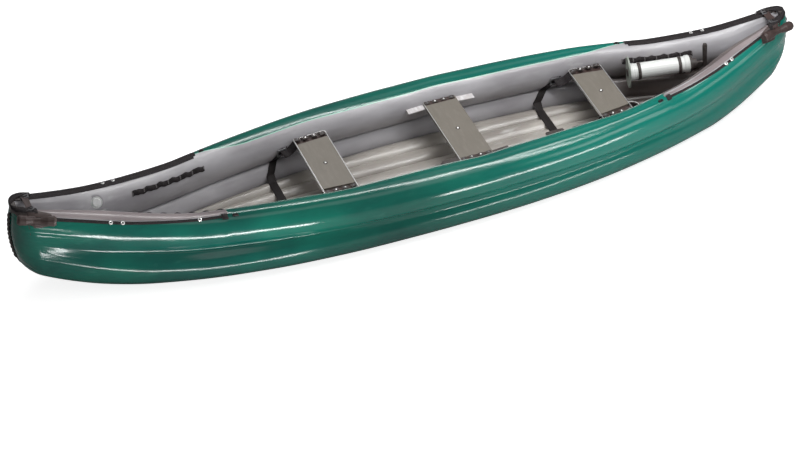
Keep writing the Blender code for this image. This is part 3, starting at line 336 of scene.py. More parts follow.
# Pale mint line where green meets grey: partly a seam, partly a painted highlight along that edge.
SEAM = material(
    "pale_seam_tape", SKIN, bump=0.3, distance=0.002, roughness=0.35, scuffs=0.3,
    colour=(0.416, 0.752, 0.608), deep_colour=(0.288, 0.576, 0.464), scuff_colour=(0.72, 0.8, 0.8),
)
BLACK_WEB = material(
    "black_webbing", WEBBING, bump=0.5, distance=0.0006, specular=0.2, pitch=1600.0,
    colour=(0.016, 0.013, 0.014), thread_colour=(0.064, 0.056, 0.058),
)
BLACK_RUBBER = material(
    "black_rubber", GRAIN, bump=0.25, distance=0.0008, scale=120.0, roughness=0.42, marks=0.35,
    colour=(0.032, 0.026, 0.024), mark_colour=(0.136, 0.112, 0.106),
)
BROWN_RUBBER = material(
    "dark_brown_rubber", GRAIN, bump=0.3, distance=0.001, scale=240.0, roughness=0.42, marks=0.2,
    colour=(0.038, 0.021, 0.019), mark_colour=(0.096, 0.061, 0.054),
)
BOARD = material(
    "warm_grey_board", GRAIN, bump=0.15, distance=0.0005, coat=0.1, scale=90.0, roughness=0.38, marks=0.35,
    colour=(0.157, 0.141, 0.118), mark_colour=(0.232, 0.21, 0.184),
)
ALUMINIUM = material(
    "brushed_aluminium", GRAIN, bump=0.12, distance=0.0003, metallic=0.9, scale=260.0, roughness=0.25,
    marks=0.3, colour=(0.74, 0.74, 0.73), mark_colour=(0.55, 0.55, 0.54),
)
# The rails' strong white marks are partly a mottled pale finish, partly a painted highlight for the glints
# on them.
PALE_METAL = material(
    "pale_satin_metal", GRAIN, bump=0.12, distance=0.0003, metallic=0.1, scale=60.0, roughness=0.30,
    marks=0.8, colour=(0.48, 0.448, 0.448), mark_colour=PALEST,
)
VALVE_GREY = material(
    "valve_grey", GRAIN, bump=0.1, distance=0.0004, scale=140.0, roughness=0.3, marks=0.3,
    colour=(0.768, 0.784, 0.768), mark_colour=(0.576, 0.592, 0.576),
)
VALVE_CAP = material(
    "pale_valve_cap", GRAIN, bump=0.1, distance=0.0004, scale=140.0, roughness=0.3, marks=0.3,
    colour=PALEST, mark_colour=(0.704, 0.72, 0.704),
)
BINDING = material(
    "brown_grey_binding", SKIN, bump=0.4, distance=0.003, coat=0.2, roughness=0.28, scuffs=0.4,
    colour=(0.32, 0.275, 0.28), deep_colour=(0.192, 0.16, 0.166), scuff_colour=(0.576, 0.528, 0.528),
)
# Dark brown tape over the port stern crown: painted shade, where the real crown is grey fabric in shade.
DARK_LINING = material(
    "dark_brown_lining", SKIN, bump=0.4, distance=0.003, roughness=0.40, scuffs=0.3,
    colour=(0.168, 0.141, 0.138), deep_colour=(0.104, 0.085, 0.083), scuff_colour=(0.352, 0.32, 0.32),
)
WHITE_PIPE = material(
    "white_pipe", GRAIN, bump=0.06, distance=0.0004, coat=0.2, scale=50.0, roughness=0.28, marks=0.3,
    colour=(0.704, 0.72, 0.704), mark_colour=(0.8, 0.8, 0.784),
)
GREY_GREEN = material(
    "grey_green_plastic", GRAIN, bump=0.12, distance=0.0006, scale=90.0, roughness=0.4, marks=0.4,
    colour=(0.272, 0.304, 0.264), mark_colour=(0.48, 0.512, 0.464),
)
BUCKLE = material(
    "dark_buckle_plastic", GRAIN, bump=0.12, distance=0.0005, scale=120.0, roughness=0.35, marks=0.4,
    colour=(0.096, 0.096, 0.102), mark_colour=(0.224, 0.224, 0.232),
)
BLACK_PLASTIC = material(
    "black_bar_plastic", GRAIN, bump=0.2, distance=0.0005, specular=0.15, scale=100.0, roughness=0.5,
    marks=0.3, colour=(0.013, 0.01, 0.01), mark_colour=(0.048, 0.043, 0.043),
)
THREAD = material(
    "grey_stitching", GRAIN, bump=0.5, distance=0.0005, scale=300.0, roughness=0.6, marks=0.6,
    colour=(0.08, 0.072, 0.072), mark_colour=(0.256, 0.24, 0.24),
)
STEEL = material(
    "bright_steel", GRAIN, bump=0.08, distance=0.0003, metallic=0.4, scale=200.0, roughness=0.18, marks=0.3,
    colour=(0.86, 0.86, 0.85), mark_colour=(0.60, 0.60, 0.59),
)


# Pieces

STRAP_EDGE_SHARE = 0.55
RIBBON_EDGE_SHARE = 0.5
MOST_STRAP_POINTS = 20


def scene_object(name, data):
    obj = bpy.data.objects.new(name, data)
    bpy.context.scene.collection.objects.link(obj)
    return obj


def piece(name, mesh, skins, replaces=None):
    """Piece of the hull's body, which may take over a material slot and the place of a solid."""
    obj = scene_object(name, mesh)
    for skin in skins if isinstance(skins, list) else [skins]:
        mesh.materials.append(skin)
    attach(obj, "hull")
    if replaces:
        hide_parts(replaces)
    return obj


def mesh_from(name, verts, faces, uvs=None, smooth_angle=50.0, slots=None):
    mesh = bpy.data.meshes.new(name)
    mesh.from_pydata([tuple(v) for v in verts], [], faces)
    if slots is not None:
        mesh.polygons.foreach_set("material_index", slots)
    if uvs is not None:
        layer = mesh.uv_layers.new(name="strap")
        corners = np.empty(len(mesh.loops), np.int32)
        mesh.loops.foreach_get("vertex_index", corners)
        layer.data.foreach_set("uv", np.asarray(uvs, np.float32)[corners].ravel())
    shape = bmesh.new()
    shape.from_mesh(mesh)
    bmesh.ops.recalc_face_normals(shape, faces=shape.faces)
    shape.to_mesh(mesh)
    shape.free()
    mesh.shade_smooth()
    mesh.set_sharp_from_angle(angle=math.radians(smooth_angle))
    return mesh


def loft(name, rings, uvs=None, smooth_angle=50.0, ring_slots=None):
    """Closed body through rings of points. ring_slots gives the material slot of each facet round a ring."""
    count = len(rings[0])
    verts = [point for ring in rings for point in ring]
    faces, slots = [], []
    for i in range(len(rings) - 1):
        for j in range(count):
            k = (j + 1) % count
            faces.append((i * count + j, i * count + k, (i + 1) * count + k, (i + 1) * count + j))
            slots.append(ring_slots[j] if ring_slots else 0)
    faces.append(tuple(range(count)))
    faces.append(tuple((len(rings) - 1) * count + j for j in range(count)))
    slots += [0, 0]
    flat = [uv for ring in uvs for uv in ring] if uvs else None
    return mesh_from(name, verts, faces, flat, smooth_angle, slots)


def revolve(name, profile, place, sides):
    """Body of revolution about the Z of a frame. The profile is (radius, height) pairs."""
    verts, faces, rows = [], [], []
    for radius, height in profile:
        if radius < 1e-6:
            rows.append([len(verts)])
            verts.append(place @ Vector((0, 0, height)))
            continue
        rows.append(list(range(len(verts), len(verts) + sides)))
        for i in range(sides):
            turn = math.tau * i / sides
            verts.append(place @ Vector((radius * math.cos(turn), radius * math.sin(turn), height)))
    pairs = list(zip(rows, rows[1:]))
    if len(rows[0]) > 1 and len(rows[-1]) > 1:
        pairs.append((rows[-1], rows[0]))
    for first, second in pairs:
        for i in range(sides):
            j = (i + 1) % sides
            corners = [row[k % len(row)] for row, k in ((first, i), (first, j), (second, j), (second, i))]
            unique = list(dict.fromkeys(corners))
            if len(unique) > 2:
                faces.append(unique)
    return mesh_from(name, verts, faces, smooth_angle=40.0)


def axis_frame(origin, up, ahead=(1, 0, 0)):
    """Frame at an origin with Z along up, and X as near to ahead as it can be."""
    up = Vector(up).normalized()
    side = up.cross(Vector(ahead)).normalized()
    made = Matrix((side.cross(up), side, up)).transposed().to_4x4()
    made.translation = Vector(origin)
    return made


def spaced(start, end, step):
    """Values from start to end, in even steps that come nearest to step."""
    count = max(1, round(abs(end - start) / step))
    return [start + (end - start) * i / count for i in range(count + 1)]


def across_tube(side, x, angle, width, points=7):
    """Stop of a strap that runs along an upper tube: a function of the lift at each of its points."""
    half_turn = math.degrees(width / 2 / tube_section(x, True)[2])
    turns = [half_turn * (2 * i / (points - 1) - 1) for i in range(points)]
    return lambda lifts: [on_tube(side, True, x, angle + turn, lift) for turn, lift in zip(turns, lifts)]


def strap(name, stops, thickness, width, under=0.0, extra=None):
    """Strap through stops, with softened edges and with its own length and width as coordinates.

    It lies as high as under says above the skin, and extra thickens it at each stop.
    """
    points = len(stops[0]([0.0] * MOST_STRAP_POINTS))
    shares = [STRAP_EDGE_SHARE, *[1.0] * (points - 2), STRAP_EDGE_SHARE]
    rings, uvs = [], []
    run, last = 0.0, None
    for i, stop in enumerate(stops):
        lift = (extra[i] if extra else 0.0) + thickness
        low = stop([under] * points)
        high = stop([under + lift * share for share in shares])
        middle = Vector(high[points // 2])
        run += (middle - last).length if last is not None else 0.0
        last = middle
        rings.append([*low, *high[::-1]])
        row = [(run, width * j / (points - 1)) for j in range(points)]
        uvs.append([*row, *row[::-1]])
    return loft(name, rings, uvs, 60.0)


# Camera, light and backdrop

CAMERA_AZIMUTH = -20.884
CAMERA_ELEVATION = 40.878
CAMERA_ROLL = -1.245
CAMERA_LENS = 117.79
CAMERA_SENSOR = 36.0
CAMERA_DISTANCE = 14.202
CAMERA_REACH = 100.0
CAMERA_AIM = (-0.0835, 0, 0.2)
# How far the middle of the picture lies below the aim, because the boat fills its upper half
AIM_BELOW = 0.4167
WORLD_STRENGTH = 0.14
# Name, place, aim, size and power of each lamp
LAMPS = (
    ("overhead_strip", (0.6, 0.30, 3.2), (0.2, 0, 0), (6.5, 0.20), 105),
    ("floor_card", (-1.46, -1.05, 0.01), (-1.46, -1.05, 3.0), (1.46, 0.19), 31),
    ("stern_floor_card", (1.0, -1.25, 0.01), (1.0, -1.25, 3.0), (1.6, 0.20), 28),
    ("stern_strip", (1.9, -0.25, 3.2), (1.9, -0.25, 0), (2.2, 0.40), 31),
    ("far_soft", (-0.4, 2.1, 3.2), (-0.4, 0.1, 0.2), (6.0, 1.5), 15),
    ("near_soft", (0.3, -1.35, 3.3), (0.3, -0.2, 0), (7.0, 1.1), 21),
    ("stern_fill", (5.0, -5.5, 3.0), (0.4, 0, 0.2), (3.0, 2.0), 60),
)
FLOOR_REACH = 30.0
FLOOR_GREY = 0.62
FLOOR_ROUGHNESS = 0.9
FLOOR_GLOW = 0.85
WHITE = (1, 1, 1, 1)


def make_camera():
    angles = (CAMERA_AZIMUTH, CAMERA_ELEVATION, CAMERA_ROLL)
    azimuth, elevation, roll = (math.radians(angle) for angle in angles)
    level = math.cos(elevation)
    ahead = Vector((-level * math.sin(azimuth), level * math.cos(azimuth), -math.sin(elevation)))
    right = Vector((math.cos(azimuth), math.sin(azimuth), 0))
    up = right.cross(ahead)
    right_rolled = right * math.cos(roll) + up * math.sin(roll)
    up_rolled = up * math.cos(roll) - right * math.sin(roll)
    target = Vector(CAMERA_AIM) - up_rolled * AIM_BELOW
    data = bpy.data.cameras.new("camera")
    data.lens = CAMERA_LENS
    data.sensor_width = CAMERA_SENSOR
    data.clip_end = CAMERA_REACH
    camera = scene_object("camera", data)
    place = Matrix((right_rolled, up_rolled, -ahead)).transposed().to_4x4()
    place.translation = target - ahead * CAMERA_DISTANCE
    camera.matrix_world = place
    bpy.context.scene.camera = camera


def area_light(name, place, aim, size, power):
    """Soft box or strip that the camera doesn't see."""
    data = bpy.data.lights.new(name, "AREA")
    data.shape = "RECTANGLE"
    data.size, data.size_y = size
    data.energy = power
    light = scene_object(name, data)
    light.location = place
    light.visible_camera = False
    light.rotation_euler = (Vector(aim) - Vector(place)).to_track_quat("-Z", "Y").to_euler()


def make_studio():
    scene = bpy.context.scene
    scene.view_settings.view_transform = "Standard"
    scene.world = bpy.data.worlds.new("studio")
    scene.world.use_nodes = True
    tree = scene.world.node_tree
    soft = tree.nodes["Background"]
    soft.inputs["Color"].default_value = WHITE
    soft.inputs["Strength"].default_value = WORLD_STRENGTH
    white = node(tree, "ShaderNodeBackground", {"Color": WHITE, "Strength": 1.0})
    rays = node(tree, "ShaderNodeLightPath").outputs
    shares = {0: rays["Is Camera Ray"], 1: soft.outputs[0], 2: white.outputs[0]}
    mix = node(tree, "ShaderNodeMixShader", shares)
    tree.links.new(mix.outputs[0], tree.nodes["World Output"].inputs["Surface"])
    for lamp in LAMPS:
        area_light(*lamp)
    make_backdrop()


def make_backdrop():
    """Plain pale floor. Only the camera sees its glow."""
    plane = bpy.data.meshes.new("studio_floor")
    corners = [(x * FLOOR_REACH, y * FLOOR_REACH, 0) for x, y in ((-1, -1), (1, -1), (1, 1), (-1, 1))]
    plane.from_pydata(corners, [], [(0, 1, 2, 3)])
    pale = bpy.data.materials.new("pale_floor")
    pale.use_nodes = True
    tree = pale.node_tree
    shader = tree.nodes["Principled BSDF"]
    shader.inputs["Base Color"].default_value = (FLOOR_GREY, FLOOR_GREY, FLOOR_GREY, 1)
    shader.inputs["Roughness"].default_value = FLOOR_ROUGHNESS
    shader.inputs["Emission Color"].default_value = WHITE
    rays = node(tree, "ShaderNodeLightPath").outputs
    glow = maths(tree, "MULTIPLY", rays["Is Camera Ray"], FLOOR_GLOW)
    tree.links.new(glow, shader.inputs["Emission Strength"])
    plane.materials.append(pale)
    scene_object("studio_floor", plane)


# Hull skins

GREEN_EDGE = 118.0
SEAM_HALF_TURN = 1.3
STEEPEST_SINE = 0.97
VALLEY_TURN = 33.0
VALLEY_TURN_DROP = 11.0
VALLEY_DROP_START = 1.2
VALLEY_DROP_LENGTH = 0.5
VALLEY_STEPS = 7
GREEN_STEPS = 36
GREY_STEPS = 34
SKIN_END = HALF_LENGTH - 0.0053
MIDDLE_END = 1.95
MIDDLE_STEP = 0.025
END_START = 1.965
END_STEP = 0.009
BULGE = 0.022
BULGE_START = 2.05
BULGE_LENGTH = 0.17
BULGE_HEIGHT = 0.39
BULGE_HALF_HEIGHT = 0.17
FOLD_START = 1.75
FOLD_LENGTH = 0.4
FOLD_DEPTH = 0.0035
QUILT_DEPTH = 0.0006
SEAM_TAPE_END = 2.17
SEAM_TAPE_STEP = 0.02
SEAM_TAPE_HALF_POINTS = 3
SEAM_TAPE_THICKNESS = 0.0012
SEAM_TAPE_WIDTH = 0.03
STRIP_STARTS = {BOW: 1.17, STERN: 1.39}
STRIP_END = 2.155
STARBOARD_STRIP_ANGLE = 83.0
# Angle of the port strips amidships, its drop toward the tip, and the drop's start and length
PORT_STRIP_ANGLES = {BOW: (73.0, 18.0, 1.17, 0.6), STERN: (79.0, 11.0, 1.42, 0.4)}
EDGE_BLENDS = {PORT: 0.06, STARBOARD: 0.34}
EDGE_BLEND_OVERLAP = 0.03
EYELETS = {(BOW, STARBOARD): (1.64, 1.70), (BOW, PORT): (1.30, 1.69, 1.75),
           (STERN, STARBOARD): (1.74, 1.80), (STERN, PORT): (1.79, 1.83)}


def end_of(x):
    return BOW if x < 0 else STERN


def stem_bulge(x, z):
    """How far the air pushes the stem forward of the tubes' plain ends."""
    along = smooth_step((abs(x) - BULGE_START) / BULGE_LENGTH)
    return BULGE * along * max(0.0, 1 - ((z - BULGE_HEIGHT) / BULGE_HALF_HEIGHT) ** 2)


def smooth_step(share):
    """Share eased in and out between 0 and 1."""
    share = min(1.0, max(0.0, share))
    return share * share * (3 - 2 * share)


def strip_angle(side, x):
    """Angle on an upper tube at which the deck strip lies. The port ones turn outboard toward the tips."""
    if side == STARBOARD:
        return STARBOARD_STRIP_ANGLE
    angle, drop, start, length = PORT_STRIP_ANGLES[end_of(x)]
    return angle - drop * smooth_step((abs(x) - start) / length)


def green_edge(side, x):
    """Angle at which green meets grey: inboard of the crown amidships, under the strips at the ends."""
    blend = EDGE_BLENDS[side]
    blend_start = STRIP_STARTS[end_of(x)] + EDGE_BLEND_OVERLAP - blend
    share = smooth_step((abs(x) - blend_start) / blend)
    return GREEN_EDGE + (strip_angle(side, x) - GREEN_EDGE) * share


def valley_curve(x):
    """Outboard run of the cover from the upper tube to the lower one, as (y, z) from the top down."""
    drop = VALLEY_TURN_DROP * smooth_step((abs(x) - VALLEY_DROP_START) / VALLEY_DROP_LENGTH)
    turn = math.radians(VALLEY_TURN - drop)
    ends, slopes = [], []
    for upper, flip in ((True, 1), (False, -1)):
        centre_y, centre_z, radius_y, radius_z = tube_section(x, upper)
        rise = flip * radius_z * math.sin(turn)
        ends.append(Vector((centre_y + radius_y * math.cos(turn), centre_z - rise)))
        slopes.append(Vector((-flip * radius_y * math.sin(turn), -radius_z * math.cos(turn))))
    chord = (ends[1] - ends[0]).length
    slopes = [slope.normalized() * chord for slope in slopes]
    points = []
    for i in range(2 * VALLEY_STEPS + 1):
        t = i / (2 * VALLEY_STEPS)
        points.append(ends[0] * (2 * t**3 - 3 * t * t + 1) + slopes[0] * (t**3 - 2 * t * t + t)
                      + ends[1] * (3 * t * t - 2 * t**3) + slopes[1] * (t**3 - t * t))
    return points, math.degrees(turn)


def tube_ring(side, upper, x):
    """Ring of (y, z) round a tube and the skin of each of its facets: 0 green, 1 grey, 2 pale seam line,
    partly a painted highlight along the green-grey edge.
    """
    flip = 1 if upper else -1
    curve, turn = valley_curve(x)
    if not upper:
        curve = curve[::-1]
    ring = [Vector((point.x, point.y + flip * GAP / 2 * (1 - i / VALLEY_STEPS)))
            for i, point in enumerate(curve[VALLEY_STEPS::-1])]
    _, centre_z, _, radius_z = tube_section(x, upper)
    middle = (sheer(x) + keel(x)) / 2
    low = math.degrees(math.asin(min(STEEPEST_SINE, (abs(centre_z - middle) - GAP / 2) / radius_z)))
    edge = green_edge(side, x) if upper else GREEN_EDGE
    green_end = edge - SEAM_HALF_TURN
    grey_start = edge + SEAM_HALF_TURN
    turns = [-turn + (green_end + turn) * i / GREEN_STEPS for i in range(1, GREEN_STEPS + 1)]
    turns += [grey_start + (180 + low - grey_start) * i / GREY_STEPS for i in range(GREY_STEPS + 1)]
    for i, angle in enumerate(turns):
        lift = wrinkle(x, angle, side, upper) if i < len(turns) - 1 else 0.0
        point = on_tube(1, upper, x, flip * angle, lift)
        ring.append(Vector((point.y, point.z)))
    ring.append((ring[-1] + ring[0]) / 2)
    skins = [0] * (VALLEY_STEPS + GREEN_STEPS) + [2] + [1] * (GREY_STEPS + 1) + [0]
    return ring, skins


def wrinkle(x, angle, side, upper):
    """Small relief of the skin: lengthwise tension folds toward the ends and a slight quilting elsewhere."""
    end_share = max(0.0, min(1.0, (abs(x) - FOLD_START) / FOLD_LENGTH))
    place = Vector((x * 3.0, math.radians(angle) * 2.6 + side * 7, 4.0 if upper else 9.0))
    fold = noise.noise(Vector((place.x * 0.8, place.y * 2.4, place.z)))
    return FOLD_DEPTH * end_share * fold + QUILT_DEPTH * noise.noise(place * 1.7)


def tube_mesh(name, side, upper):
    places = spaced(-MIDDLE_END, MIDDLE_END, MIDDLE_STEP)
    places += [end * x for end in (BOW, STERN) for x in spaced(END_START, SKIN_END, END_STEP)]
    rings = []
    for x in sorted(places):
        ring, skins = tube_ring(side, upper, x)
        rings.append([(x + end_of(x) * stem_bulge(x, z), side * max(GAP, y), z) for y, z in ring])
    return loft(name, rings, smooth_angle=70.0, ring_slots=skins)


def make_side_seams():
    """Welded tape over the line where the upper and lower tubes' covers meet."""
    for side, side_name in SIDES:
        rows = []
        first = VALLEY_STEPS - SEAM_TAPE_HALF_POINTS
        last = VALLEY_STEPS + SEAM_TAPE_HALF_POINTS
        for x in spaced(-SEAM_TAPE_END, SEAM_TAPE_END, SEAM_TAPE_STEP):
            curve, _ = valley_curve(x)
            rows.append([(x, side * point.x, point.y) for point in curve[first:last + 1]])
        name = f"{side_name}_side_seam"
        normals = [(0, side, 0)] * len(rows)
        piece(name, ribbon(name, rows, normals, SEAM_TAPE_THICKNESS, SEAM_TAPE_WIDTH), GREEN)


def carve(obj, cutters):
    """Cut the cutters' shapes out of a skin for good, and remove them."""
    for cutter in cutters:
        modifier = obj.modifiers.new("pocket", "BOOLEAN")
        modifier.operation = "DIFFERENCE"
        modifier.solver = "EXACT"
        modifier.object = cutter
    graph = bpy.context.evaluated_depsgraph_get()
    cut = bpy.data.meshes.new_from_object(obj.evaluated_get(graph))
    obj.modifiers.clear()
    obj.data = cut
    for cutter in cutters:
        bpy.data.objects.remove(cutter)
    cut.shade_smooth()
    cut.set_sharp_from_angle(angle=math.radians(50))


UPPER_VALVE_X = -1.765
LOWER_VALVE_X = 1.15
FLOOR_VALVE_X = -1.265
UPPER_VALVE_ANGLE = 142.0
LOWER_VALVE_ANGLE = 150.0
# Name, side, upper tube or not, place along the boat and angle on the tube. Side 0 is the mat
VALVES = (
    ("port_upper_valve", PORT, True, UPPER_VALVE_X, UPPER_VALVE_ANGLE),
    ("starboard_upper_valve", STARBOARD, True, UPPER_VALVE_X, UPPER_VALVE_ANGLE),
    ("port_lower_valve", PORT, False, LOWER_VALVE_X, LOWER_VALVE_ANGLE),
    ("starboard_lower_valve", STARBOARD, False, LOWER_VALVE_X, LOWER_VALVE_ANGLE),
    ("floor_valve", 0, False, FLOOR_VALVE_X, 0.0),
)
POCKET_RADIUS = 0.0313
POCKET_NECK_RADIUS = 0.017
POCKET_TOP = 0.03
POCKET_LEDGE = -0.0055
POCKET_BOTTOM = -0.044


def valve_frame(valve):
    _, side, upper, x, angle = valve
    if not side:
        return axis_frame((x, 0, FLOOR_TOP), (0, 0, 1))
    return axis_frame(on_tube(side, upper, x, angle), skin_normal(side, upper, x, angle))


def pocket(valve):
    """Cutter for the room that a valve's flange and barrel take in a skin."""
    profile = [(0, POCKET_TOP), (POCKET_RADIUS, POCKET_TOP), (POCKET_RADIUS, POCKET_LEDGE),
               (POCKET_NECK_RADIUS, POCKET_LEDGE), (POCKET_NECK_RADIUS, POCKET_BOTTOM), (0, POCKET_BOTTOM)]
    return scene_object("pocket", revolve("pocket", profile, valve_frame(valve), 36))


FLOOR_STEP = 0.02
FLOOR_SETBACK_SHARE = 1.012
FLOOR_TIP_HALF_WIDTH = 0.004
LANE_STEPS = 14
LANE_ROUNDNESS = 0.75
PUCKER = 0.0012
UNDERSIDE_STEPS = 10


def floor_half_width(x):
    """Half width of the mat, which fits between the lower tubes."""
    centre_y, _, radius_y, _ = tube_section(x, False)
    return centre_y - radius_y * FLOOR_SETBACK_SHARE - GAP


def floor_ring(x):
    """Section of the mat: crowned lanes with puckered seams above, and shallow grooves below."""
    half_width = max(FLOOR_TIP_HALF_WIDTH, floor_half_width(x))
    groove = min(LANE_GROOVE, half_width / FLOOR_LANES)
    ring = []
    for i in range(FLOOR_LANES * LANE_STEPS + 1):
        bulge = math.sin(math.pi * (i % LANE_STEPS) / LANE_STEPS) ** LANE_ROUNDNESS
        y = -half_width + 2 * half_width * i / (FLOOR_LANES * LANE_STEPS)
        pucker = PUCKER * noise.noise(Vector((x * 9, y * 40, 1.0)))
        ring.append((x, y, keel(x) + FLOOR_TOP - groove * (1 - bulge) + pucker * (1 - bulge * 0.6)))
    for i in range(UNDERSIDE_STEPS + 1):
        y = half_width - 2 * half_width * i / UNDERSIDE_STEPS
        ring.append((x, y, keel(x) + FLOOR_BOTTOM + groove * (1 - i % 2)))
    return ring


def floor_mesh():
    rings = [floor_ring(x) for x in spaced(FLOOR_BOW_END, FLOOR_STERN_END, FLOOR_STEP)]
    return loft("floor_mat_skin", rings, smooth_angle=70.0)


def make_hull():
    for side, side_name in SIDES:
        for upper, level in ((True, "upper"), (False, "lower")):
            name = f"{side_name}_{level}_skin"
            skins = [GREEN, GREY, SEAM]
            solid = f"{side_name}_{level}_tube"
            obj = piece(name, tube_mesh(name, side, upper), skins, replaces=solid)
            carve(obj, [pocket(valve) for valve in VALVES if valve[1:3] == (side, upper)])
    mat = piece("floor_mat_skin", floor_mesh(), MAT_GREY,
                replaces="inflatable_floor")
    hole = scene_object("sump_hole", plate_mesh("sump_hole", sump_outline(-GAP), -0.1, 0.3))
    carve(mat, [pocket(VALVES[-1]), hole])


def plate_mesh(name, outline, low, high):
    """Flat plate with an outline of (x, y) points, between two heights."""
    count = len(outline)
    verts = [(x, y, z) for z in (low, high) for x, y in outline]
    faces = [(i, (i + 1) % count, count + (i + 1) % count, count + i) for i in range(count)]
    faces += [tuple(range(count)), tuple(range(count, 2 * count))]
    return mesh_from(name, verts, faces, smooth_angle=40.0)


def plate_piece(name, outline, low, high, skin, place=None):
    mesh = plate_mesh(name, outline, low, high)
    if place:
        mesh.transform(place)
    piece(name, mesh, skin)


SUMP_X = 1.275
SUMP_HALF_LENGTH = 0.08
SUMP_HALF_WIDTH = 0.055
SUMP_CORNER = 0.035


def rounded_rectangle(centre, half, radius, steps=8):
    points = []
    for sx, sy, start in ((1, 1, 0), (-1, 1, 90), (-1, -1, 180), (1, -1, 270)):
        for i in range(steps + 1):
            turn = math.radians(start + 90 * i / steps)
            points.append((centre[0] + sx * (half[0] - radius) + radius * math.cos(turn),
                           centre[1] + sy * (half[1] - radius) + radius * math.sin(turn)))
    return points


def sump_outline(shrink):
    half = (SUMP_HALF_LENGTH - shrink, SUMP_HALF_WIDTH - shrink)
    return rounded_rectangle((SUMP_X, 0), half, SUMP_CORNER - shrink)


# Fittings on the tubes

STRIP_WIDTHS = {PORT: 0.015, STARBOARD: 0.063}
STRIP_THICKNESS = 0.0028
STRIP_STEP = 0.02
BINDING_CLEARANCE = 8.0
BINDING_INNER_TURNS = {BOW: 110.0, STERN: 100.0}
# Where the painted shade tape on the port stern crown starts inboard of the strip, and where it ends
LINING_CLEARANCE = 32.0
LINING_INNER_TURN = 131.0
TAPE_THICKNESS = 0.0006
TAPE_WIDTH = 0.06
# Place from the strip's start, width and rise of the fold and of the loop
END_TABS = ((0.0, 0.034, 0.003), (-0.055, 0.014, 0.007))
END_TAB_THICKNESS = 0.004


def make_strips():
    for end, end_name in ENDS:
        for side, side_name in SIDES:
            width = STRIP_WIDTHS[side]
            stops = []
            for x in spaced(STRIP_STARTS[end], STRIP_END, STRIP_STEP):
                stops.append(across_tube(side, end * x, strip_angle(side, end * x), width))
            name = f"{end_name}_{side_name}_deck_strip"
            mesh = strap(name, stops, STRIP_THICKNESS, width)
            piece(f"{name}_webbing", mesh, BLACK_WEB, replaces=name)
            for i, x in enumerate(EYELETS[end, side]):
                eyelet(f"{name}_eyelet_{i}", side, end * x)
            if side == PORT:
                turn = BINDING_INNER_TURNS[end]
                make_binding(f"{name}_binding", end, BINDING_CLEARANCE, turn, BINDING)
                # On the port stern, a dark tape inboard of the binding paints in the shade over the crown.
                if end == STERN:
                    make_binding(f"{name}_lining", end, LINING_CLEARANCE, LINING_INNER_TURN, DARK_LINING)
            end_tab(f"{name}_tab", side, end * STRIP_STARTS[end])


def make_binding(name, end, clear_of_strip, inner_turn, skin):
    """Tape along the port crown, between a turn inboard of the deck strip and an angle on the tube."""
    stops = []
    for x in spaced(STRIP_STARTS[end] - STRIP_STEP, STRIP_END, STRIP_STEP):
        low = strip_angle(PORT, end * x) + clear_of_strip
        width = math.radians(inner_turn - low) * tube_section(end * x, True)[2]
        stops.append(across_tube(PORT, end * x, (inner_turn + low) / 2, width, points=11))
    piece(name, strap(name, stops, TAPE_THICKNESS, TAPE_WIDTH, under=TAPE_THICKNESS), skin)


def eyelet(name, side, x):
    """Pressed steel ring on a deck strip, round a dark hole."""
    angle = strip_angle(side, x)
    skin = on_tube(side, True, x, angle, STRIP_THICKNESS)
    place = axis_frame(skin, skin_normal(side, True, x, angle))
    ring = [(0.0050, 0.0), (0.0050, 0.0022), (0.0068, 0.0036), (0.0092, 0.0030), (0.0108, 0.0002)]
    piece(name, revolve(name, ring, place, 20), STEEL)
    hole = [(0, 0.0012), (0.0050, 0.0012), (0.0050, 0.0), (0, 0.0)]
    piece(f"{name}_hole", revolve(f"{name}_hole", hole, place, 20), BLACK_RUBBER)


def end_tab(name, side, x):
    """Stitched fold where a deck strip starts, and a small loop standing off the tube before it."""
    for i, (ahead, width, rise) in enumerate(END_TABS):
        near = x + end_of(x) * (ahead - 0.014)
        far = x + end_of(x) * (ahead + 0.016)
        angle = strip_angle(side, x)
        stops = [across_tube(side, v, angle, width, points=5) for v in spaced(near, far, 0.005)]
        lifts = [rise * math.sin(math.pi * j / (len(stops) - 1)) for j in range(len(stops))]
        label = f"{name}_{i}"
        piece(label, strap(label, stops, END_TAB_THICKNESS, width, extra=lifts), BLACK_WEB)


CHAIN_SPANS = {BOW: (1.13, 1.56), STERN: (1.33, 1.71)}
CHAIN_ANGLE = 146.0
STERN_STARBOARD_CHAIN_ANGLE = 155.0
CHAIN_STEP = 0.004
CHAIN_WIDTH = 0.024
CHAIN_THICKNESS = 0.0025
CHAIN_LOOPS = 6
CHAIN_LOOP_HEIGHT = 0.009
BAR_TACK_WIDTH = 0.020
BAR_TACK_THICKNESS = 0.0040
BAR_TACK_HALF_LENGTH = 0.003


def make_daisy_chains():
    for end, end_name in ENDS:
        for side, side_name in SIDES:
            make_daisy_chain(f"{end_name}_{side_name}_daisy_chain", end, side)


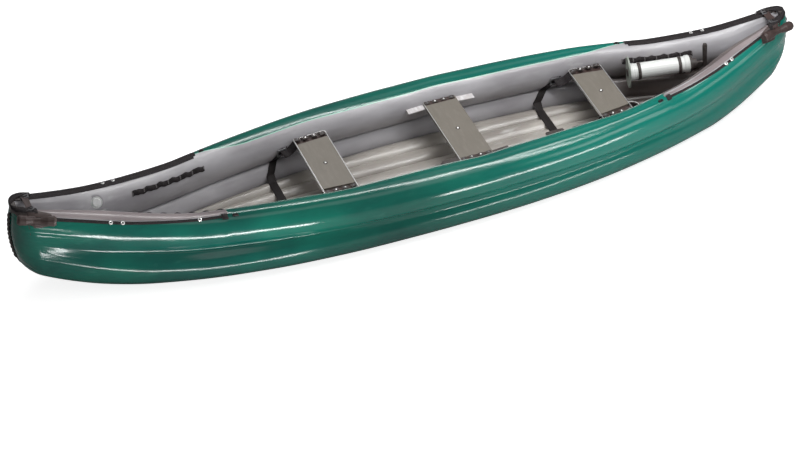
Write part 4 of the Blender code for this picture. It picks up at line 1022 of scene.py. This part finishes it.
def make_daisy_chain(name, end, side):
    """Strap that stands off the tube in loops, with a stitched bar between one loop and the next."""
    near, far = CHAIN_SPANS[end]
    angle = STERN_STARBOARD_CHAIN_ANGLE if (end, side) == (STERN, STARBOARD) else CHAIN_ANGLE
    stops, humps = [], []
    for x in spaced(near, far, CHAIN_STEP):
        along = (x - near) / (far - near)
        sway = 1.6 * math.sin(math.tau * CHAIN_LOOPS * along + 0.7) + 0.8 * math.sin(math.tau * 11 * along)
        stops.append(across_tube(side, end * x, angle + sway, CHAIN_WIDTH, points=5))
        humps.append(CHAIN_LOOP_HEIGHT * math.sin(math.pi * CHAIN_LOOPS * along) ** 2)
    mesh = strap(name, stops, CHAIN_THICKNESS, CHAIN_WIDTH, extra=humps)
    piece(f"{name}_webbing", mesh, BLACK_WEB, replaces=name)
    for i in range(CHAIN_LOOPS + 1):
        x = near + (far - near) * i / CHAIN_LOOPS
        x = min(far - CHAIN_STEP, max(near + CHAIN_STEP, x))
        ends = (x - BAR_TACK_HALF_LENGTH, x + BAR_TACK_HALF_LENGTH)
        stops = [across_tube(side, end * v, angle, BAR_TACK_WIDTH, points=3) for v in ends]
        label = f"{name}_bar_tack_{i}"
        piece(label, strap(label, stops, BAR_TACK_THICKNESS, BAR_TACK_WIDTH), THREAD)


def ribbon(name, rows, normals, thickness, width):
    """Free strap through rows of points, thickened along a normal for each row."""
    rings, uvs, run = [], [], 0.0
    for i, (row, normal) in enumerate(zip(rows, normals)):
        row = [Vector(point) for point in row]
        if i:
            run += (row[len(row) // 2] - last).length
        last = row[len(row) // 2]
        shares = [RIBBON_EDGE_SHARE, *[1.0] * (len(row) - 2), RIBBON_EDGE_SHARE]
        high = [point + Vector(normal) * thickness * share for point, share in zip(row, shares)]
        rings.append([*row, *high[::-1]])
        marks = [(run, width * j / (len(row) - 1)) for j in range(len(row))]
        uvs.append([*marks, *marks[::-1]])
    return loft(name, rings, uvs, 60.0)


def tube_along(name, points, radii, sides=12):
    """Round body through points, with a radius at each."""
    points = [Vector(point) for point in points]
    rings = []
    for i, point in enumerate(points):
        ahead = (points[min(i + 1, len(points) - 1)] - points[max(i - 1, 0)]).normalized()
        side = ahead.cross(Vector((0, 0, 1))) if abs(ahead.z) < 0.9 else ahead.cross(Vector((0, 1, 0)))
        side.normalize()
        up = side.cross(ahead)
        turns = [math.tau * j / sides for j in range(sides)]
        rings.append([point + (side * math.cos(turn) + up * math.sin(turn)) * radii[i] for turn in turns])
    return loft(name, rings, smooth_angle=70.0)


def raised(stop, lift):
    """A strap's stop, lifted off the skin."""
    return lambda lifts: stop([lift + extra for extra in lifts])


HOOD_START = 2.10
HOOD_STEP = 0.006
HOOD_ANGLES = {STARBOARD: 79.0, PORT: 92.0}
HOOD_WIDTH = 0.034
HOOD_THICKNESS = 0.005
HOOD_STANDOFF = 0.0055
HOOD_LIFT = 0.010
STEM_END = 2.03
STEM_STEP = 0.004
LACING_RADIUS = 0.0055
LACING_SWELL = 0.0040
LACING_TURN = 0.42
LACING_END_RADIUS = 0.002
PATCH_START = 2.035
PATCH_END = 2.19
PATCH_ANGLE = 58.0
PATCH_THICKNESS = 0.0018
PATCH_WIDTH = 0.07
CROSS_STRAP_X = HALF_LENGTH - 0.09
LOCK_ANGLE = 96.0
LOCK_THICKNESS = 0.006
LOCK_BAR_THICKNESS = 0.0018
TAIL_ANGLE = 78.0
TAIL_WIDTH = 0.045


def make_noses():
    for end, end_name in ENDS:
        make_hood(f"{end_name}_hood", end)
        make_stem(end, end_name)
        make_handle_patches(end, end_name)
        make_cross_strap_locks(end, end_name)


def make_hood(name, end):
    """Strap over the nose from starboard to port. It lies lower on the port half, under the carry handle."""
    run = spaced(HOOD_START, HALF_LENGTH - 0.0008, HOOD_STEP)
    path = [(STARBOARD, x) for x in run] + [(PORT, x) for x in reversed(run)]
    stops = []
    for i, (side, x) in enumerate(path):
        share = i / (len(path) - 1)
        lift = HOOD_LIFT * math.sin(math.pi * share) * (1 - 0.85 * smooth_step((share - 0.45) / 0.1))
        width = min(HOOD_WIDTH, 1.1 * tube_section(end * x, True)[2])
        stops.append(raised(across_tube(side, end * x, HOOD_ANGLES[side], width), lift))
    piece(name, strap(name, stops, HOOD_THICKNESS, HOOD_WIDTH, under=HOOD_STANDOFF), BLACK_WEB)


def make_stem(end, end_name):
    """Laced edging down the stem and under the fore foot."""
    tip = HALF_LENGTH + 0.001
    heights = spaced(sheer(end * tip) - 0.05, keel(end * tip) + 0.01, STEM_STEP)
    points = [(end * (tip + stem_bulge(tip, z)), 0, z) for z in heights]
    run = spaced(HALF_LENGTH - 0.006, STEM_END, STEM_STEP)
    points += [(end * x, 0, keel(end * x) - 0.002) for x in run]
    radii = [LACING_RADIUS + LACING_SWELL * abs(math.sin(i * LACING_TURN)) for i in range(len(points))]
    radii[-1] = LACING_END_RADIUS
    name = f"{end_name}_stem_lacing"
    piece(name, tube_along(name, points, radii), BLACK_RUBBER)


def make_handle_patches(end, end_name):
    """Dark reinforcing patches on the shoulders, under the carry handle and opposite it."""
    for side, side_name in SIDES:
        stops = []
        for x in spaced(PATCH_START, PATCH_END, 0.01):
            share = (x - PATCH_START) / (PATCH_END - PATCH_START)
            width = 0.022 + 0.052 * math.sqrt(math.sin(math.pi * (share * 0.62 + 0.04)))
            stops.append(across_tube(side, end * x, PATCH_ANGLE, width, points=9))
        name = f"{end_name}_{side_name}_handle_patch"
        mesh = strap(name, stops, PATCH_THICKNESS, PATCH_WIDTH, under=TAPE_THICKNESS)
        piece(name, mesh, BROWN_RUBBER)


def make_cross_strap_locks(end, end_name):
    """Ladder lock and doubled tail at each end of the strap across the nose."""
    x = end * CROSS_STRAP_X
    for side, side_name in SIDES:
        skin = on_tube(side, True, x, LOCK_ANGLE, 0.0075)
        place = axis_frame(skin, skin_normal(side, True, x, LOCK_ANGLE), (0, 1, 0))
        name = f"{end_name}_{side_name}_ladder_lock"
        outline = rounded_rectangle((0, 0), (0.017, 0.022), 0.004, 3)
        plate_piece(name, outline, 0.0, LOCK_THICKNESS, BUCKLE, place)
        for i, bar in enumerate((-0.008, 0.008)):
            outline = rounded_rectangle((bar, 0), (0.0032, 0.0165), 0.001, 2)
            top = LOCK_THICKNESS + LOCK_BAR_THICKNESS
            plate_piece(f"{name}_bar_{i}", outline, LOCK_THICKNESS, top, BLACK_PLASTIC, place)
        run = spaced(x - 0.011, x + 0.011, 0.0055)
        stops = [across_tube(side, v, TAIL_ANGLE, TAIL_WIDTH, points=5) for v in run]
        label = f"{end_name}_{side_name}_cross_strap_tail"
        piece(label, strap(label, stops, 0.0045, TAIL_WIDTH, under=0.003), BROWN_RUBBER)


# Seats

SEAT_TOP = 0.315
# Name, place along the boat and half width between the end fasteners
SEATS = (("bow_seat", BOW_SEAT_X, 0.238), ("centre_seat", CENTRE_SEAT_X, 0.262),
         ("stern_seat", STERN_SEAT_X, 0.214))
WASHER_THICKNESS = 0.0016
FASTENER_PLACES = (-0.074, -0.028, 0.024, 0.070)
FASTENER_HEIGHT = 0.007
FORE_EDGE_X = 0.1645
PORT_FOOT = (0.110, -0.256)


def dome(name, place, radius, height, skin):
    """Low round head of a bolt or a rivet."""
    crown = [(0, 1.0), (0.5, 0.93), (0.86, 0.6), (1.0, 0.0), (0, 0.0)]
    profile = [(radius * out, height * up) for out, up in crown]
    piece(name, revolve(name, profile, place, 20), skin)


def make_seat_fittings():
    for name, x, half_width in SEATS:
        make_seat_bolt(name, x)
        for side, side_name in SIDES:
            make_seat_fasteners(f"{name}_{side_name}", name, x, side * half_width)
            if name == "centre_seat":
                outline = rounded_rectangle((x, side * half_width), (0.088, 0.0135), 0.004, 3)
                label = f"{name}_{side_name}_end_strip"
                plate_piece(label, outline, SEAT_TOP, SEAT_TOP + 0.0025, BROWN_RUBBER)
    outline = rounded_rectangle((FORE_EDGE_X, 0), (0.0022, 0.272), 0.002, 3)
    plate_piece("centre_seat_fore_edge", outline, SEAT_TOP, SEAT_TOP + 0.0012, ALUMINIUM)
    outline = rounded_rectangle(PORT_FOOT, (0.049, 0.016), 0.006, 4)
    plate_piece("centre_seat_port_foot", outline, 0.3030, 0.3225, BLACK_RUBBER)


def make_seat_bolt(name, x):
    washer = [(0, WASHER_THICKNESS), (0.0105, WASHER_THICKNESS), (0.0120, 0.0006), (0.0120, 0.0), (0, 0.0)]
    place = axis_frame((x, 0, SEAT_TOP), (0, 0, 1))
    piece(f"{name}_washer", revolve(f"{name}_washer", washer, place, 24), BLACK_RUBBER)
    head_place = axis_frame((x, 0, SEAT_TOP + WASHER_THICKNESS), (0, 0, 1))
    dome(f"{name}_bolt", head_place, 0.0066, 0.0035, STEEL)


def make_seat_fasteners(label, seat_name, x, y):
    """Row of lugs with bright or dark heads at one end of a seat. None lies quite square."""
    lift = SEAT_TOP if seat_name == "centre_seat" else SEAT_TOP - 0.0005
    for i, along in enumerate(FASTENER_PLACES):
        name = f"{label}_fastener_{i}"
        spot = Vector((x + along, y, lift))
        outline = rounded_rectangle((0, 0), (0.016, 0.0115), 0.005, 3)
        place = Matrix.Translation(spot) @ Matrix.Rotation(0.3 * math.sin(3 * i + x), 4, "Z")
        plate_piece(name, outline, 0.0, FASTENER_HEIGHT, BLACK_RUBBER, place)
        top = axis_frame(spot + Vector((0, 0, FASTENER_HEIGHT)), (0, 0, 1))
        dome(f"{name}_head", top, 0.0055, 0.003, STEEL if i in (1, 2) else BUCKLE)


# End, place of the port or starboard buckle and place of the seat's fore corner
THIGH_STRAP_RUNS = (
    ("bow", (-0.678, 0.221, 0.258), (-0.600, 0.226, 0.301)),
    ("stern", (0.941, 0.224, 0.258), (1.024, 0.208, 0.301)),
)
RUN_STEPS = 12
RUN_SAG = 0.014
RUN_WIDTH = 0.046
RUN_THICKNESS = 0.003


def make_thigh_straps():
    """Free runs of the thigh straps, from the buckles up to the seats' fore corners."""
    for end_name, buckle, corner in THIGH_STRAP_RUNS:
        for side, side_name in SIDES:
            make_strap_run(f"{end_name}_{side_name}_thigh_strap_run", side, buckle, corner)


def make_strap_run(name, side, buckle, corner):
    start, stop = (Vector((x, side * y, z)) for x, y, z in (buckle, corner))
    ahead = (stop - start).normalized()
    across = ahead.cross(Vector((-0.27, -0.71 * side, 0.65))).normalized()
    normal = ahead.cross(across)
    if side * normal.y > 0:
        normal = -normal
    rows = []
    for i in range(RUN_STEPS + 1):
        t = i / RUN_STEPS
        spot = start + (stop - start) * t - Vector((0, 0, RUN_SAG)) * math.sin(math.pi * t)
        spot += normal * (0.004 + 0.003 * math.sin(9 * t))
        twist = across + normal * 0.35 * math.sin(2.5 * t)
        rows.append([spot + twist * RUN_WIDTH / 2 * v for v in (-1, -0.5, 0, 0.5, 1)])
    piece(name, ribbon(name, rows, [normal] * len(rows), RUN_THICKNESS, RUN_WIDTH), BLACK_WEB)


# Name, centre and half size of the pads and tabs on the mat
FLOOR_PADS = (
    ("bow_floor_pad", (-0.760, -0.028), (0.053, 0.021)),
    ("stern_floor_pad", (0.830, -0.028), (0.053, 0.021)),
    ("stern_floor_tab", (0.975, -0.030), (0.042, 0.009)),
    ("bow_floor_tab", (-0.350, -0.066), (0.016, 0.019)),
)
PAD_BURIED = 0.004
PAD_HEIGHT = 0.0055
BEAD_RADIUS = 0.0022
BEAD_HEIGHT = 0.0045
BEAD_SETBACK = 0.0085


def make_floor_fittings():
    """Pads where the thigh straps cross the mat, tabs before the seats and the bead round the sump."""
    for name, centre, half in FLOOR_PADS:
        outline = rounded_rectangle(centre, half, 0.006, 4)
        plate_piece(name, outline, FLOOR_TOP - PAD_BURIED, FLOOR_TOP + PAD_HEIGHT, BLACK_RUBBER)
    # The bead's pale grey is partly a pale rim round the sump, partly a painted highlight for the crescent
    # glints there.
    outline = sump_outline(-BEAD_SETBACK)
    points = [(x, y, FLOOR_TOP + BEAD_HEIGHT) for x, y in [*outline, outline[0]]]
    bead = tube_along("sump_bead", points, [BEAD_RADIUS] * len(points), 8)
    piece("sump_bead", bead, VALVE_GREY)


# Pump

# Foot and axis of the barrel, as the solids have them
PUMP_FOOT = Vector((1.337, 0.108, 0.297))
PUMP_AXIS = Vector((0.971178, -0.2313, 0.057564))
PUMP_LENGTH = 0.3103
PUMP_BANDS = (0.045, 0.275)
COLLAR_RIBS = 4
COLLAR_RIB_PITCH = 0.0058
FOOT_PORT_BACK = 0.0084


def pump_ring(name, profile, start, skin, place):
    """Ring round the pump, with its profile's heights counted from a place along the barrel."""
    profile = [(radius, start + height) for radius, height in profile]
    piece(name, revolve(name, profile, place, 40), skin)


def make_pump_dress():
    place = axis_frame(PUMP_FOOT, PUMP_AXIS, (0, 0, 1))
    rib = [(0.0475, 0.0), (0.0496, 0.0012), (0.0496, 0.0030), (0.0475, 0.0042)]
    for i in range(COLLAR_RIBS):
        start = PUMP_LENGTH + 0.006 + COLLAR_RIB_PITCH * i
        pump_ring(f"pump_collar_rib_{i}", rib, start, WHITE_PIPE, place)
    sleeve = [(0.0465, 0.031), (0.0475, 0.034), (0.0440, 0.0465), (0.0285, 0.0490), (0.0270, 0.0700),
              (0.0190, 0.0720), (0.0190, 0.031)]
    pump_ring("pump_neck_boot", sleeve, PUMP_LENGTH, BLACK_RUBBER, place)
    base = [(0.0472, 0.002), (0.0495, 0.004), (0.0495, 0.018), (0.0472, 0.020)]
    pump_ring("pump_foot_collar", base, 0.0, WHITE_PIPE, place)
    keeper = [(0.0482, 0.002), (0.0498, 0.004), (0.0498, 0.014), (0.0482, 0.016)]
    for i, start in enumerate(PUMP_BANDS):
        pump_ring(f"pump_band_keeper_{i}", keeper, start, BLACK_RUBBER, place)
    port = [(0, -0.0010), (0.020, -0.0010), (0.022, 0.0), (0.022, 0.004), (0, 0.004)]
    back = axis_frame(PUMP_FOOT, -PUMP_AXIS, (0, 0, 1)) @ Matrix.Translation((0, 0, FOOT_PORT_BACK))
    piece("pump_foot_port", revolve("pump_foot_port", port, back, 32), BLACK_RUBBER)


# Valves

def make_valve_dress():
    """Ring round each valve and the patch that welds it into the skin."""
    ring = [(0.0255, -0.0005), (0.0265, 0.0010), (0.0300, 0.0012), (0.0311, -0.0004)]
    weld = [(0.0312, -0.0004), (0.0316, 0.0005), (0.0420, 0.0004), (0.0432, -0.0006)]
    for valve in VALVES:
        name = valve[0]
        place = valve_frame(valve)
        piece(f"{name}_ring", revolve(f"{name}_ring", ring, place, 36), VALVE_GREY)
        piece(f"{name}_weld_patch", revolve(f"{name}_weld_patch", weld, place, 40), GREY)


# Finishes and closing calls

def make_trim():
    make_strips()
    make_daisy_chains()
    make_noses()
    make_seat_fittings()
    make_thigh_straps()
    make_floor_fittings()
    make_side_seams()
    make_pump_dress()
    make_valve_dress()


# Part of a solid's name and its finish. The first that fits a name counts
FINISHES = (
    ("valve_body", VALVE_GREY), ("valve_cap", VALVE_CAP), ("valve_stem", BLACK_RUBBER),
    ("seat_board", BOARD), ("seat_rim", ALUMINIUM), ("port_rail", BLACK_RUBBER), ("rail", PALE_METAL),
    ("bracket", BROWN_RUBBER), ("buckle", BUCKLE), ("pump_barrel", WHITE_PIPE), ("pump_gland", WHITE_PIPE),
    ("pump_foot", GREY_GREEN), ("pump_plunger", BLACK_RUBBER), ("pump_piston", BLACK_RUBBER),
    ("drain_plug", GREY_GREEN), ("sump_tray", BLACK_RUBBER), ("nose_cap", BLACK_RUBBER),
    ("handle", BROWN_RUBBER), ("cross_strap", BROWN_RUBBER), ("thigh_strap", BLACK_PLASTIC),
    ("pump_fore_strap", BLACK_RUBBER), ("pump_aft_strap", BLACK_RUBBER),
)


def restyle():
    """Finishes for the solids that keep their shape."""
    for name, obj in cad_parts.items():
        skin = next((skin for key, skin in FINISHES if key in name), None)
        if skin:
            for slot in obj.material_slots:
                slot.material = skin


make_camera()
make_studio()
make_hull()
make_trim()
restyle()
